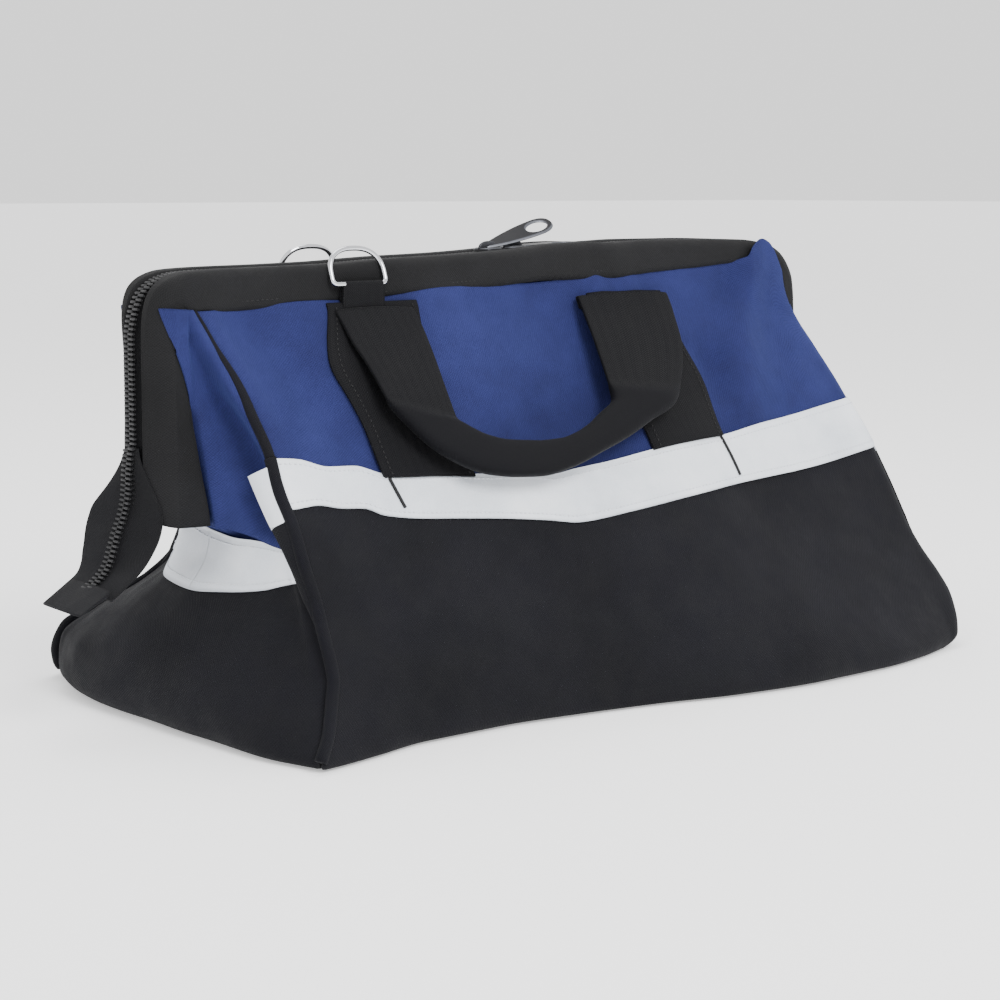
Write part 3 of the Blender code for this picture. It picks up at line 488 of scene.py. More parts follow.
def bead(long, wide, high, around=6):
    # a small stitch: pointed ends, oval middle; 2 rings and 2 tips
    ring = oval(around, wide / 2, high / 2)
    rings = [np.column_stack([np.full(around, x), ring]) for x in (-long * 0.28, long * 0.28)]
    points = np.concatenate([*rings, [[-long / 2, 0, 0], [long / 2, 0, 0]]])
    j = np.arange(around)
    nextJ = (j + 1) % around
    body = np.stack([j, nextJ, around + nextJ, around + j], -1)
    tips = np.concatenate([np.stack([nextJ, j, np.full(around, 2 * around)], -1),
                           np.stack([around + j, around + nextJ, np.full(around, 2 * around + 1)], -1)])
    return points, [body, tips]


def stitches(name, line, out, pitch, finish, long=0.0016, wide=0.00055, high=0.0005):
    # beads at equal steps along a line, lying on the face whose outward direction is out
    line = np.asarray(line, float)
    reach = travel(line)
    at = np.arange(pitch * 0.6, reach[-1] - pitch * 0.3, pitch)
    origins = pick(at, reach, line)
    ahead = unit(pick(at, reach, np.gradient(line, axis=0)))
    outward = unit(pick(at, reach, np.broadcast_to(np.asarray(out, float), line.shape)))
    across = unit(np.cross(outward, ahead))
    shape, faces = bead(long, wide, high)
    return repeated(name, shape, faces, origins, np.stack([ahead, across, outward], 1), finish)


# the bag's main shapes
bag = {
    "halfDepth": 121.0, "lean": 0.5532, "topDepth": 17.0, "topEase": 3.5,  # long walls: depth falls with height
    "blendFrom": 105.0, "blendTo": 135.0, "blendDepthAt": 100,             # where the cloth turns with the mouth
    "footRound": 8.0,                                                      # how the walls round under at the floor
}
wallAngle = math.atan(bag["lean"])
sides = {"front": -1.0, "rear": 1.0}
ends = {"left": -1.0, "right": 1.0}
wallOut = {side: np.array([0.0, math.cos(wallAngle) * sign, math.sin(wallAngle)]) for side, sign in sides.items()}

# where each corner seam stands, in mm, at each height
seamHeights = (0, 6, 16, 27, 36, 50, 64, 82, 97, 111, 126, 140, 155, 168, 179, 192)
seams = {
    ("front", "left"): (-200, -194.5, -186, -180, -177, -176, -176.5, -177.5,
                        -178, -178.5, -179, -180.5, -184, -188.5, -193, -199),
    ("front", "right"): (201, 207, 212, 214, 212, 206.5, 203.5, 202.5,
                         201, 198.5, 193.5, 189, 183.5, 177.5, 173.5, 168),
    ("rear", "left"): (-199, -202, -205, -203, -189, -163, -153, -151,
                       -152, -156, -162, -168, -176, -183, -190, -197),
    ("rear", "right"): (197, 201, 203, 203, 201.5, 197, 193, 190, 188, 187, 185, 183, 180, 178, 176, 173),
}

# how far the foot of each long wall stands out (+) or in (-) along the base
footBow = {
    "front": ((-200, -188, -164, -132, -93, -51, -8, 35, 85, 130, 165, 197),
              (-2, -3, -7, -13, -13, -8, 0, 11, 17, 16.5, 12, 4)),
    "rear": ((-205, -150, -80, 0, 80, 150, 200), (1, 5, 8, 3, 7, 5, 1)),
}
footFall = ((0, 15, 35, 60, 95), (1.0, 0.95, 0.6, 0.25, 0.0))

# soft ridges and valleys on the long walls: from x, z to x, z, width, height, in mm
folds = {
    "front": [(-168, 181, -140, 138, 13, -3.6), (-140, 186, -112, 146, 17, 2.4),
              (-60, 190, -50, 112, 30, 1.6), (0, 190, 8, 112, 24, -1.8), (-30, 130, 30, 118, 14, -1.4),
              (124, 188, 101, 150, 13, -3.4), (101, 150, 92, 120, 12, -2.4), (139, 194, 121, 162, 15, 3.4),
              (121, 162, 112, 124, 15, 2.6), (160, 180, 146, 126, 15, -1.8), (34, 198, 36, 182, 6, 1.6),
              (58, 198, 60, 184, 6, 1.6), (-150, 84, -70, 14, 34, 2.2), (-60, 84, -10, 10, 38, -2.4),
              (30, 80, 100, 18, 44, 2.6), (112, 88, 176, 26, 30, -2.4),
              (-168, 70, -172, 14, 14, -1.6), (140, 48, 190, 16, 22, 2.0), (100, 92, 186, 88, 14, -1.2)],
    "rear": [(168, 120, 163, 183, 11, 2.4), (150, 190, 120, 130, 18, 3.2), (125, 185, 108, 120, 14, -3.4),
             (20, 190, 35, 112, 30, 1.8), (-40, 190, -52, 112, 26, -2.0), (-118, 196, -112, 116, 14, 3.0),
             (-138, 190, -132, 120, 12, -3.0), (-160, 190, -150, 126, 12, 2.4), (140, 84, 70, 16, 34, 2.4),
             (40, 84, -10, 12, 36, -2.2), (-30, 80, -110, 18, 42, 2.6), (-130, 76, -170, 28, 28, -2.2)],
}


def ridges(x, z, rows):
    # sum of height * exp(-(distance to the row's line / width)^2)
    total = np.zeros(np.broadcast(x, z).shape)
    for x0, z0, x1, z1, wide, high in rows:
        dx, dz = x1 - x0, z1 - z0
        t = np.clip(((x - x0) * dx + (z - z0) * dz) / (dx * dx + dz * dz), 0, 1)
        total = total + high * np.exp(-(((x - x0 - dx * t) ** 2 + (z - z0 - dz * t) ** 2) / wide ** 2))
    return total


def ripple(u, v, seed, size=0.5, longest=80.0):
    # sum of sines in fixed directions, bent by a longer wave and each lower than the last; u, v and size in mm
    rule = np.random.default_rng(seed)
    total = np.zeros(np.broadcast(u, v).shape)
    for step in range(6):
        wave = longest / 1.5 ** step
        angle, phase = rule.uniform(0, np.pi), rule.uniform(0, 2 * np.pi, 3)
        ahead, aside = u * math.cos(angle) + v * math.sin(angle), v * math.cos(angle) - u * math.sin(angle)
        bent = ahead + 0.22 * wave * np.sin(aside * 2 * np.pi / (1.9 * wave) + phase[1])
        swell = 0.6 + 0.4 * np.sin(aside * 2 * np.pi / (2.7 * wave) + phase[2])
        total = total + size / 1.75 ** step * swell * np.sin(bent * 2 * np.pi / wave + phase[0])
    return total


def rounded(distance, radius):
    # how far a quarter round has fallen at a distance from its end: r - sqrt(r^2 - (r - d)^2)
    past = np.clip(radius - distance, 0, radius)
    return radius - np.sqrt(radius ** 2 - past ** 2)


def tuck(z):
    # how far the foot of a wall is rounded in at a height
    return rounded(z, bag["footRound"])


def seamX(side, end, z):
    # x of a corner seam at a height, in mm
    return smoothThrough(z, seamHeights, seams[side, end])


bandEdges = {
    "top": ((-200, -175, -165, -152, -137.5, -124, -106.5, -91, -65, -45.5, -32, -17, 6, 37, 69, 86, 116, 186),
            (124.5, 123.4, 122.3, 118.3, 117.6, 113.1, 111.3, 110.4, 108.4, 107.2,
             105.2, 106.8, 108.7, 111.9, 114.4, 115.6, 119, 127.4)),
    "foot": ((-200, -175, -164, -151.5, -140, -131, -114, -86, -67, -44, -25, 7, 49, 89, 134, 195),
             (103, 102.4, 103, 100.7, 99.6, 95.9, 93, 90.5, 88.7, 85.7, 83, 85, 88.7, 92.5, 95.3, 102.5)),
}
# how far each wall rounds over before its corner seam
seamRound = {("front", "left"): 1.2, ("front", "right"): 9.0, ("rear", "left"): 6.0, ("rear", "right"): 4.0}
# the upper cloth's roll beside its seam
seamRoll = {("front", "left"): 2.2, ("front", "right"): 0.0, ("rear", "left"): 1.6, ("rear", "right"): 1.2}


def bandTop(x):
    # height of the white band's upper edge on the long walls
    return smoothThrough(x, *bandEdges["top"])


def bandFoot(x):
    # height of its lower edge
    return smoothThrough(x, *bandEdges["foot"])


def wallDepth(z):
    # half depth - lean * z
    return bag["halfDepth"] - bag["lean"] * z


# small creases on every wall, held flat under the band and at the corners
creases = {"size": 0.55, "seed": {"front": 3, "rear": 8}, "flatBelowTop": 12, "flatWide": 14.0, "flatShare": 0.75,
           "end": {"size": 0.45, "longest": 110.0, "seed": {"left": 5, "right": 6}},
           "seamFold": {"high": 1.6, "wide": 0.018, "shares": (0.045, 0.955)}}


def wall(side, x, z, lift=0.0, calm=0.0):
    # depth = half depth - lean * z, never under the top depth; plus the foot's bow, and along the normal
    # the folds, the creases and the lift; less the round and the roll beside each seam
    depth = bag["topDepth"] + bag["topEase"] * np.logaddexp(0, (wallDepth(z) - bag["topDepth"]) / bag["topEase"])
    bow = smoothThrough(x, *footBow[side]) * smoothThrough(z, *footFall)
    flat = np.exp(-((z - bandTop(x) + creases["flatBelowTop"]) / creases["flatWide"]) ** 2)
    crumple = ridges(x, z, folds[side]) + ripple(x, z, creases["seed"][side], creases["size"])
    crumple = crumple * (1 - creases["flatShare"] * flat) * (1 - calm)
    out = crumple * (ramp(np.abs(x), 205, -14) * ramp(z, 0, 12)) + lift - tuck(z)
    fall = 0.0
    for end in ends:
        inside = np.abs(seamX(side, end, z) - x)
        roll = seamRoll[side, end] * np.exp(-((inside - 6.0) / 4.6) ** 2) * ramp(z, 124, 14)
        fall = fall + rounded(inside, seamRound[side, end]) * np.interp(z, (150, 178), (1.0, 0.25)) - roll
    return stack((x - np.sign(x) * tuck(z) * ramp(np.abs(x), 150, 50)) * mm,
                 (sides[side] * (depth + bow) + (out - fall) * wallOut[side][1]) * mm,
                 (z + (out + tuck(z)) * wallOut[side][2]) * mm)


# end walls under the band: x in mm by share from front to rear and by height
endShares = (0, 0.12, 0.3, 0.5, 0.68, 0.78, 0.88, 1)
endHeights = (0, 12, 25, 38, 50, 62, 75, 90, 105)
endWalls = {
    "left": ((-199, -207, -212, -216, -219, -217, -211, -199), (-190, -203, -212, -217, -221, -220, -216, -202),
             (-180, -196, -208, -214, -219, -219, -214, -205), (-177, -188, -200, -207, -212, -209, -203, -186),
             (-176, -184, -193, -199, -201, -195, -183, -163), (-176.5, -182, -187, -190, -187, -179, -167, -153),
             (-177, -181, -183, -182, -181, -173, -163, -151), (-178, -180, -181, -180, -179, -173, -162, -151),
             (-178.5, -180, -180, -179, -178, -172, -163, -154)),
    "right": ((202, 205, 206, 207, 206, 205, 202, 196), (210, 211, 210, 210, 209, 208, 206, 200),
              (213, 211, 208, 207, 207, 207, 206, 202), (209, 206, 202, 200, 201, 203, 203, 201),
              (202, 199, 194, 191, 193, 196, 198, 197), (198.5, 193, 187, 184, 186, 189, 192, 193),
              (198, 190, 183, 180, 181, 185, 188, 190), (197, 189, 182, 179, 180, 184, 187, 189),
              (195, 189, 183, 180, 181, 184, 186, 188)),
}
legX = {"left": ((60, 90, 113, 149, 160, 173, 181, 188.5, 192),
                 (-186, -190, -194, -201, -204, -208.6, -211, -213, -213.4)),
        "right": ((60, 90, 113, 149, 173, 190), (171, 172, 173.5, 175, 175.5, 176))}
endMaps = {end: smoothMap(endShares, endHeights, table) for end, table in endWalls.items()}


def endWall(end, share, z, lift=0.0):
    # x from the table, y from the front seam to the rear seam, rippled along x; a small fold beside each seam,
    # and near the corners, where the band climbs with the seams, x passes over to the seam's own
    sign, near = ends[end], np.minimum(share, 1 - share)
    front, rear = wall("front", seamX("front", end, z), z), wall("rear", seamX("rear", end, z), z)
    y = front[..., 1] * (1 - share) + rear[..., 1] * share
    fold, small = creases["seamFold"], creases["end"]
    seamFold = sum(fold["high"] * np.exp(-((share - at) / fold["wide"]) ** 2) for at in fold["shares"])
    crumple = ripple(y / mm, z, small["seed"][end], small["size"], small["longest"]) * ramp(near, 0, 0.1)
    x = endMaps[end](share, z) + sign * (crumple + seamFold * ramp(z, 0, 20) + lift - tuck(z))
    corner = np.where(share < 0.5, seamX("front", end, z), seamX("rear", end, z)) + sign * (1.5 + lift)
    over = ramp(z, 92, 16) * np.clip(1 - near / 0.14, 0, 1)
    return stack((x * (1 - over) + corner * over) * mm, y, z * mm)


endBandEdges = {"share": (0, 0.1, 0.2, 0.35, 0.5, 0.65, 0.8, 1), "top": (86, 86.5, 87, 86, 87, 90.5, 92, 92.5),
                "foot": (73.5, 70, 66, 62.5, 60.5, 61, 64, 66)}


def endBandTop(share):
    # height of the band's upper edge on the end walls, by share from front to rear
    return smoothThrough(share, endBandEdges["share"], endBandEdges["top"])


def endBandFoot(share):
    # height of its lower edge
    return smoothThrough(share, endBandEdges["share"], endBandEdges["foot"])


def seat(piece, slot, body, *replaced):
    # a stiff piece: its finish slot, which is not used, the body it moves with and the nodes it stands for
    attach(piece, body)
    if replaced:
        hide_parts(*replaced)


def over(side, piece, slot, *replaced):
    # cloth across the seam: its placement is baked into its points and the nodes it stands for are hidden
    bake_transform(piece)
    if replaced:
        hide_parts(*replaced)


def grid(rows, columns, first=(0, 0), last=(1, 1)):
    # two parameters in equal steps, the first down the rows and the second along the columns
    return np.meshgrid(np.linspace(first[0], last[0], rows), np.linspace(first[1], last[1], columns),
                       indexing="ij")


def between(side, share, z, inset=0.0, keep=0.0):
    # x at a share of the way from seam to seam, each end drawn in by the inset and the kept share
    left, right = seamX(side, "left", z) + inset, seamX(side, "right", z) - inset
    return left + (right - left) * (keep + (1 - 2 * keep) * share)


# lower walls, base and band; the walls go up behind the band, the upper cloth comes down behind it
cloth = {"thick": 1.1, "seamShare": 0.0008, "cornerGap": 0.006, "foot": 0.25, "footPower": 1.25,
         "wallLap": 0.6, "endLap": 2.5, "upperLap": 4.5, "upperSpan": (-178, 188)}
band = {"thick": 0.9, "lift": 1.5, "calm": 0.2, "inset": 1.0, "rows": 18, "span": (-176.5, 191.0),
        "stitchShares": {"Upper": 0.11, "Lower": 0.89}, "endStitchRows": {"Upper": 2, "Lower": 13},
        "pitch": 2.5, "threadLift": 0.25, "endThreadLift": 0.3}
base = {"thick": 1.8, "inset": 6.4, "endInset": 7.0, "front": (-197, 197), "rear": (-206, 194)}


def lowerHeights(top, v):
    # heights from the foot to the top, closer together near the foot
    return cloth["foot"] + v ** cloth["footPower"] * (top - cloth["foot"])


for side in sides:
    u, v = grid(240, 64)
    x = between(side, u, v * 112.0, keep=cloth["seamShare"])
    z = lowerHeights(bandTop(x) - cloth["wallLap"], v)
    points = wall(side, between(side, u, z, keep=cloth["seamShare"]), z)
    lower = panel(f"{side}LowerPanel", points, cloth["thick"] * mm, (0, sides[side], 0.5), blackCloth)
    over(side, lower, "black_cloth", f"{side}_lower_panel")

for end in ends:
    w, v = grid(150, 64, (cloth["cornerGap"], 0), (1 - cloth["cornerGap"], 1))
    points = endWall(end, w, lowerHeights(endBandTop(w) - cloth["endLap"], v))
    lower = panel(f"{end}LowerGusset", points, cloth["thick"] * mm, (ends[end], 0, 0), blackCloth)
    seat(lower, "black_cloth", "tub", f"{end}_lower_gusset")

# the base: straight across between the two feet, rounded to the end walls
u, v = grid(120, 60)
frontX, rearX = (base[side][0] + (base[side][1] - base[side][0]) * u for side in ("front", "rear"))
edgeX = frontX * (1 - v) + rearX * v
frontY, rearY = (sides[side] * (bag["halfDepth"] + smoothThrough(edgeX, *footBow[side]) - base["inset"])
                 for side in ("front", "rear"))
leftReach, rightReach = (endMaps[end](v, np.zeros_like(v)) - ends[end] * base["endInset"]
                         for end in ("left", "right"))
x = leftReach + (rightReach - leftReach) * u
y = frontY * (1 - v) + rearY * v
points = stack(x * mm, y * mm, np.zeros(x.shape))
bottom = panel("basePanel", points, base["thick"] * mm, (0, 0, -1), blackCloth)
seat(bottom, "black_cloth", "tub", "bottom_panel")
print("lower walls made")

for side in sides:
    u, v = grid(260, band["rows"])
    x = band["span"][0] + u * (band["span"][1] - band["span"][0])
    z = bandTop(x) * (1 - v) + bandFoot(x) * v
    points = wall(side, between(side, u, z, band["inset"]), z, band["lift"], band["calm"])
    strip = panel(f"{side}Band", points, band["thick"] * mm, (0, sides[side], 0.5), whiteBand)
    over(side, strip, "white_tape", f"{side}_tape")
    for row, share in band["stitchShares"].items():
        line = points[:, int(share * (band["rows"] - 1) + 0.5)] + wallOut[side] * band["threadLift"] * mm
        thread = stitches(f"{side}Band{row}Stitches", line, wallOut[side], band["pitch"] * mm, whiteThread)
        over(side, thread, "white_tape")

for end in ends:
    for side, (first, last) in (("front", (cloth["cornerGap"], 0.5)), ("rear", (0.5, 1 - cloth["cornerGap"]))):
        w, v = grid(110, 16, (first, 0), (last, 1))
        points = endWall(end, w, endBandTop(w) * (1 - v) + endBandFoot(w) * v, band["lift"])
        name = f"{end}{side.capitalize()}EndBand"
        strip = panel(name, points, band["thick"] * mm, (ends[end], 0, 0), whiteBand)
        over(side, strip, "white_tape", f"{end}_tape")
        for row, k in band["endStitchRows"].items():
            line = points[:, k] + np.array([ends[end] * band["endThreadLift"] * mm, 0, 0])
            thread = stitches(f"{name}{row}Stitches", line, (ends[end], 0, 0), band["pitch"] * mm, whiteThread)
            over(side, thread, "white_tape")

# the long walls' cloth and band are turned over each corner seam onto the end wall
turned = {"heights": (30, 60, 72, 85, 98, 124), "wide": (3.5, 5, 6.5, 9.5, 12.5, 14), "legY": 21.4,
          "start": 0.05, "footShare": 0.35, "lift": {"seam": 2.8, "middle": 0.8, "edge": 0.9, "all": 0.6},
          "Turned": {"from": 40, "to": 98.5, "drop": 3.0, "finish": blackCloth, "slot": "black_cloth"},
          "TurnedBand": {"from": 98, "to": 121, "drop": 5.0, "finish": whiteBand, "slot": "white_tape"}}
for side in sides:
    for end in ends:
        for part in ("Turned", "TurnedBand"):
            piece, isBand = turned[part], part == "TurnedBand"
            d, v = grid(16, 50)
            z = piece["from"] + (piece["to"] - piece["from"]) * v - piece["drop"] * d * (1 if isBand else v)
            start, foot, rise = turned["start"], turned["footShare"], turned["lift"]
            reach = smoothThrough(z, turned["heights"], turned["wide"]) * (start + (1 - start) * d)
            seam = wall(side, seamX(side, end, z), z) / mm
            depth = np.abs(seam[..., 1])
            chord = unit(np.stack([smoothThrough(z, *legX[end]) - seam[..., 0], turned["legY"] - depth], -1))
            outward = np.stack([ends[end] * np.abs(chord[..., 1]), np.abs(chord[..., 0])], -1)
            thin = 1.0 if isBand else ramp(z, 40, 25)
            reach = reach * (foot + (1 - foot) * thin)
            lift = (rise["seam"] + rise["middle"] * np.sin(np.pi * d) - rise["edge"] * d) * thin + rise["all"]
            place = chord * reach[..., None] + outward * lift[..., None]
            x, y = seam[..., 0] + place[..., 0], sides[side] * (depth + place[..., 1])
            points = stack(x * mm, y * mm, z * mm)
            name = f"{side}{end.capitalize()}{part}"
            strip = panel(name, points, band["thick"] * mm, (ends[end], 0, 0), piece["finish"])
            over(side, strip, piece["slot"])

# dark tacks across the band beside the straps, from x, z to x, z
tacks = {"left": ((-122.8, 112.0), (-118.8, 97.5)), "right": ((86.3, 115.4), (90, 95.4)), "lift": 0.35,
         "pitch": 1.1, "long": 1.6, "wide": 1.9, "high": 1.2}
for side in sides:
    for end in ends:
        (x0, z0), (x1, z1) = tacks[end]
        t = np.linspace(0, 1, 24)
        line = wall(side, x0 + (x1 - x0) * t, z0 + (z1 - z0) * t, band["lift"] + tacks["lift"], band["calm"])
        tack = stitches(f"{side}{end.capitalize()}Tack", line, wallOut[side], tacks["pitch"] * mm, darkThread,
                        tacks["long"] * mm, tacks["wide"] * mm, tacks["high"] * mm)
        over(side, tack, "black_cloth")
print("band made")

# mouth: frame line, sleeves, upper cloth
# outer line of the mouth frame, x and z in mm, from the left leg's foot over the top to the right leg's foot
mouthLine = np.array([
    (-218.5, 93), (-218, 108), (-217.5, 125), (-217.2, 150), (-217, 172), (-216.6, 182), (-215.2, 190), (-211.5, 197.5),
    (-205, 202), (-196, 204.3), (-177, 205.2), (-150, 205.6), (-121, 206.2), (-84, 208), (-45, 209.2), (-15, 210.8),
    (10, 213), (30, 213.6), (47, 213.2), (75, 214), (113, 214), (140, 213.4), (157, 211.2), (168, 207.2), (175.5, 201),
    (180.7, 192.5), (183.8, 181), (186.8, 160), (188.8, 135), (189, 93)], float)
mouth = {
    "steps": 340, "sleeveIn": 6.3, "sleeveOut": 20.3, "middle": -14, "legsFrom": 160,  # legs: this far from the middle
    "legTop": 194, "proudTop": 188,                                                    # and under these heights
    # how wide the sleeve is across the frame: down the two legs by height, along the top by x
    "leftWide": ((93, 113, 149, 173, 188, 200), (27, 23, 17.5, 15.5, 16, 18)),
    "rightWide": ((93, 130, 180, 200), (19, 17, 15, 14)),
    "topWide": ((-200, -180, -150, -120, -93, -62, -28, 13, 69, 101, 124, 138, 176),
                (18.5, 18.3, 17.8, 18, 18.5, 16.5, 16.5, 18.8, 16.6, 15.8, 14.4, 12.6, 13)),
    "deep": ((93, 150, 200), (17.5, 15, 14)),
    "rod": {"radius": 2.9, "depth": 13.2, "inset": 6.0, "legInset": 2.2, "foot": 100},
    "stitches": {"inset": 3.6, "depth": 13.6, "pitch": 2.6, "from": -194, "to": 150},
    "tape": {"depths": (0.7, 7.0), "thick": 0.9, "inset": 3.0, "proud": 3.2},
}
line = alongCurve(mouthLine, mouth["steps"])
lineX, lineZ = line[:, 0], line[:, 1]
ahead = unit(np.gradient(line, axis=0))
inward = np.stack([ahead[:, 1], -ahead[:, 0]], -1)
long = float(np.linalg.norm(np.diff(line, axis=0), axis=1).sum())
distance = np.linspace(0, long, mouth["steps"])[:, None]


def smeared(values, reach):
    # the mean over a number of steps on both sides
    count = 2 * reach + 1
    return np.convolve(np.pad(values, reach, mode="edge"), np.ones(count) / count, mode="valid")


def legShare(top, reach):
    # 1 on the frame's legs under a height, 0 along its top
    return smeared(((lineZ < top) & (np.abs(lineX - mouth["middle"]) > mouth["legsFrom"])).astype(float), reach)


sleeveWide = smeared(np.where(lineX < -200, np.interp(lineZ, *mouth["leftWide"]),
                              np.where(lineX > 176, np.interp(lineZ, *mouth["rightWide"]),
                                       np.interp(lineX, *mouth["topWide"]))), 6)
sleeveDeep = np.interp(lineZ, *mouth["deep"])
legs = legShare(mouth["legTop"], 14)           # the sleeve's outer corner is round on top and cut away on the legs
proudShare = legShare(mouth["proudTop"], 6)    # the zip stands proud of the sleeve on the legs


def framed(place, b):
    # a path or face in the frame's plane (x and z in mm), b mm away from it
    return stack(place[..., 0] * mm, b * mm, place[..., 1] * mm)


def sleeveSection(wide, deep, leg):
    # a rounded box from the zip outwards, a inwards and b away from the zip: quarter rounds at its corners,
    # straight lines between them; on a leg the corner beside the zip slopes from (0.4, 2.4) to (9.4, deep)
    wide, deep, leg = wide[:, None], deep[:, None], leg[:, None]
    near, far, inner = 2.0, 4.6, 3.4

    def quarter(a, b, radius, first, last, count=9):
        # centre + radius * (cos, sin) between two angles
        turn = np.radians(np.linspace(first, last, count))[None]
        return np.stack(np.broadcast_arrays(a + radius * np.cos(turn), b + radius * np.sin(turn)), -1)

    def straight(first, last, count):
        # points between the end of one arc and the start of the next
        t = np.linspace(0, 1, count + 2)[None, 1:-1, None]
        return first[:, -1:] * (1 - t) + last[:, :1] * t

    start = quarter(near + 0 * wide, near + 0 * deep, near, -90, -180, 7)
    arc = quarter(far + 0 * wide, deep - far, far, 180, 90, 12)
    t = np.linspace(0, 1, 12)[None]
    bulge = np.sin(np.pi * t)
    slope = np.stack(np.broadcast_arrays(0.4 + 9.0 * t - 0.7 * bulge, 2.4 + (deep - 2.4) * t + 0.9 * bulge), -1)
    outer = arc * (1 - leg[..., None]) + slope * leg[..., None]
    foot = quarter(wide - inner, deep - inner, inner, 90, 0)
    back = quarter(wide - near, near + 0 * deep, near, 0, -90, 7)
    return np.concatenate([start, straight(start, outer, 4), outer, straight(outer, foot, 10), foot,
                           straight(foot, back, 5), back, straight(back, start, 6)], 1)


def sleeveFoot(x):
    # height of the sleeve's lower edge over the long wall
    middle = (lineX > -198) & (lineX < 172)
    return np.interp(x, lineX[middle], (lineZ - sleeveWide)[middle])


for side, sign in sides.items():
    a, b = np.moveaxis(sleeveSection(sleeveWide, sleeveDeep, legs), -1, 0)
    dent = ripple(distance, a * 1.3, {"front": 31, "rear": 32}[side], 0.55, 60.0) * ramp(b, 4, 8)
    wave = 0.8 * np.sin(distance / 19 + 1.3 * np.sin(distance / 47)) * ramp(a, 8, 6)
    b = b + dent + mouth["sleeveIn"]
    a = a + wave * (1 - legs[:, None])
    footShare = np.clip(1 - distance / 9, 0, 1) + np.clip(1 - (distance[-1] - distance) / 9, 0, 1)
    points = framed(line[:, None] + inward[:, None] * a[..., None], sign * b)
    points[..., 2] += 3.0 * np.clip(1 - a / 9, 0, 1) ** 2 * footShare * mm                # round feet
    seat(tube(f"{side}Sleeve", points, sleeveCloth), "black_cloth", f"{side}_mouth", f"{side}_sleeve")

    # the frame's rod inside the sleeve
    rod = mouth["rod"]
    inset = (rod["inset"] + rod["legInset"] * legs)[:, None]
    path = framed((line + inward * inset)[lineZ > rod["foot"]], sign * rod["depth"])
    section = oval(14, rod["radius"] * mm, rod["radius"] * mm)
    steelRod = sweep(f"{side}FrameRod", path, section, (0, 1, 0), steel)
    seat(steelRod, "frame_steel", f"{side}_mouth", f"{side}_frame_rod")

    # seam row along the sleeve's lower edge
    row = mouth["stitches"]
    keep = (lineX > row["from"]) & (lineX < row["to"])
    low = (line + inward * (sleeveWide[:, None] - row["inset"]))[keep]
    path = framed(low, sign * (mouth["sleeveIn"] + row["depth"]))
    thread = stitches(f"{side}SleeveStitches", path, (0, sign, 0), row["pitch"] * mm, darkThread)
    seat(thread, "black_cloth", f"{side}_mouth")

    # zip tape beside the coil
    tape = mouth["tape"]
    b = np.linspace(*tape["depths"], 8)
    inset = tape["inset"] + 0.5 * np.sin(np.linspace(0, math.pi, 8))[None, :]
    inset = inset - tape["proud"] * proudShare[:, None] * np.cos(np.linspace(0, math.pi / 2, 8))[None, :] ** 0.7
    points = framed(line[:, None] + inward[:, None] * inset[..., None], sign * b)
    strip = panel(f"{side}ZipTape", points, tape["thick"] * mm, (0, 0, 1), tapeCloth)
    seat(strip, "black_cloth", f"{side}_mouth", f"{side}_zip_tape")

# coil teeth: one bead per turn on each half, set half a step apart so that they mesh when shut
coil = {"pitch": 2.2, "long": 4.8, "wide": 1.35, "high": 1.7, "middle": 2.1, "inset": 1.5,
        "start": {"front": 0.6, "rear": 1.7}}


def toothShape():
    # a bar with rounded ends: four rings of an oval along its length
    around = 8
    ring = oval(around, coil["wide"] / 2 * mm, coil["high"] / 2 * mm, 2.4)
    rings = [np.column_stack([np.full(around, s * coil["long"] / 2 * mm), ring * k])
             for s, k in ((-1, 0.45), (-0.8, 1), (0.72, 1), (1, 0.6))]
    j = np.arange(around)
    return np.concatenate(rings), [quads(4, around, wrapColumns=True), j[None, ::-1], (3 * around + j)[None]]


def toothRow(name, path, outward, side, finish):
    # path in metres; teeth lie across it towards the side, their outer ends away from the chain's middle
    reach = travel(path)
    at = np.arange(coil["start"][side] * mm, reach[-1] - 0.5 * mm, coil["pitch"] * mm)
    origins, out = pick(at, reach, path), unit(pick(at, reach, outward))
    across = np.tile(np.array([0.0, sides[side], 0.0]), (len(at), 1))
    frames = np.stack([across, np.cross(across, out), out], 1)
    shape, faces = toothShape()
    return repeated(name, shape, faces, origins + across * coil["middle"] * mm, frames, finish)


for side in sides:
    path = framed(line + inward * (coil["inset"] - mouth["tape"]["proud"] * proudShare[:, None]), 0.0)
    teeth = toothRow(f"{side}Coil", path, framed(-inward, 0.0) / mm, side, coilPlastic)
    seat(teeth, "zip_coil", f"{side}_mouth", f"{side}_zip_coil")
print("mouth made")

# the upper cloth's top edge: under the sleeve, and puffed up over it beside the right corner
lobe = {"place": (128, 138, 143, 150.6, 156, 160, 166, 170, 175),
        "front": (200.8, 201.2, 206.6, 211.2, 209.4, 205.4, 196, 190.5, 186),
        "rear": (200.8, 201, 202.5, 203.5, 202, 199, 193, 189, 186),
        "from": 122, "lift": 0.35, "puff": 4.8}


def upperTop(side, x):
    # a little inside the sleeve's lower edge, and over the lobe's own line right of where it starts
    share = ramp(x, lobe["from"], 6)
    return (sleeveFoot(x) + 1.0) * (1 - share) + smoothThrough(x, lobe["place"], lobe[side]) * share


def upperWall(side, x, z):
    # the wall, puffed out near the right corner above 178 mm
    return wall(side, x, z, lobe["lift"] + lobe["puff"] * (ramp(x, 128, 12) * ramp(z, 178, 14)))


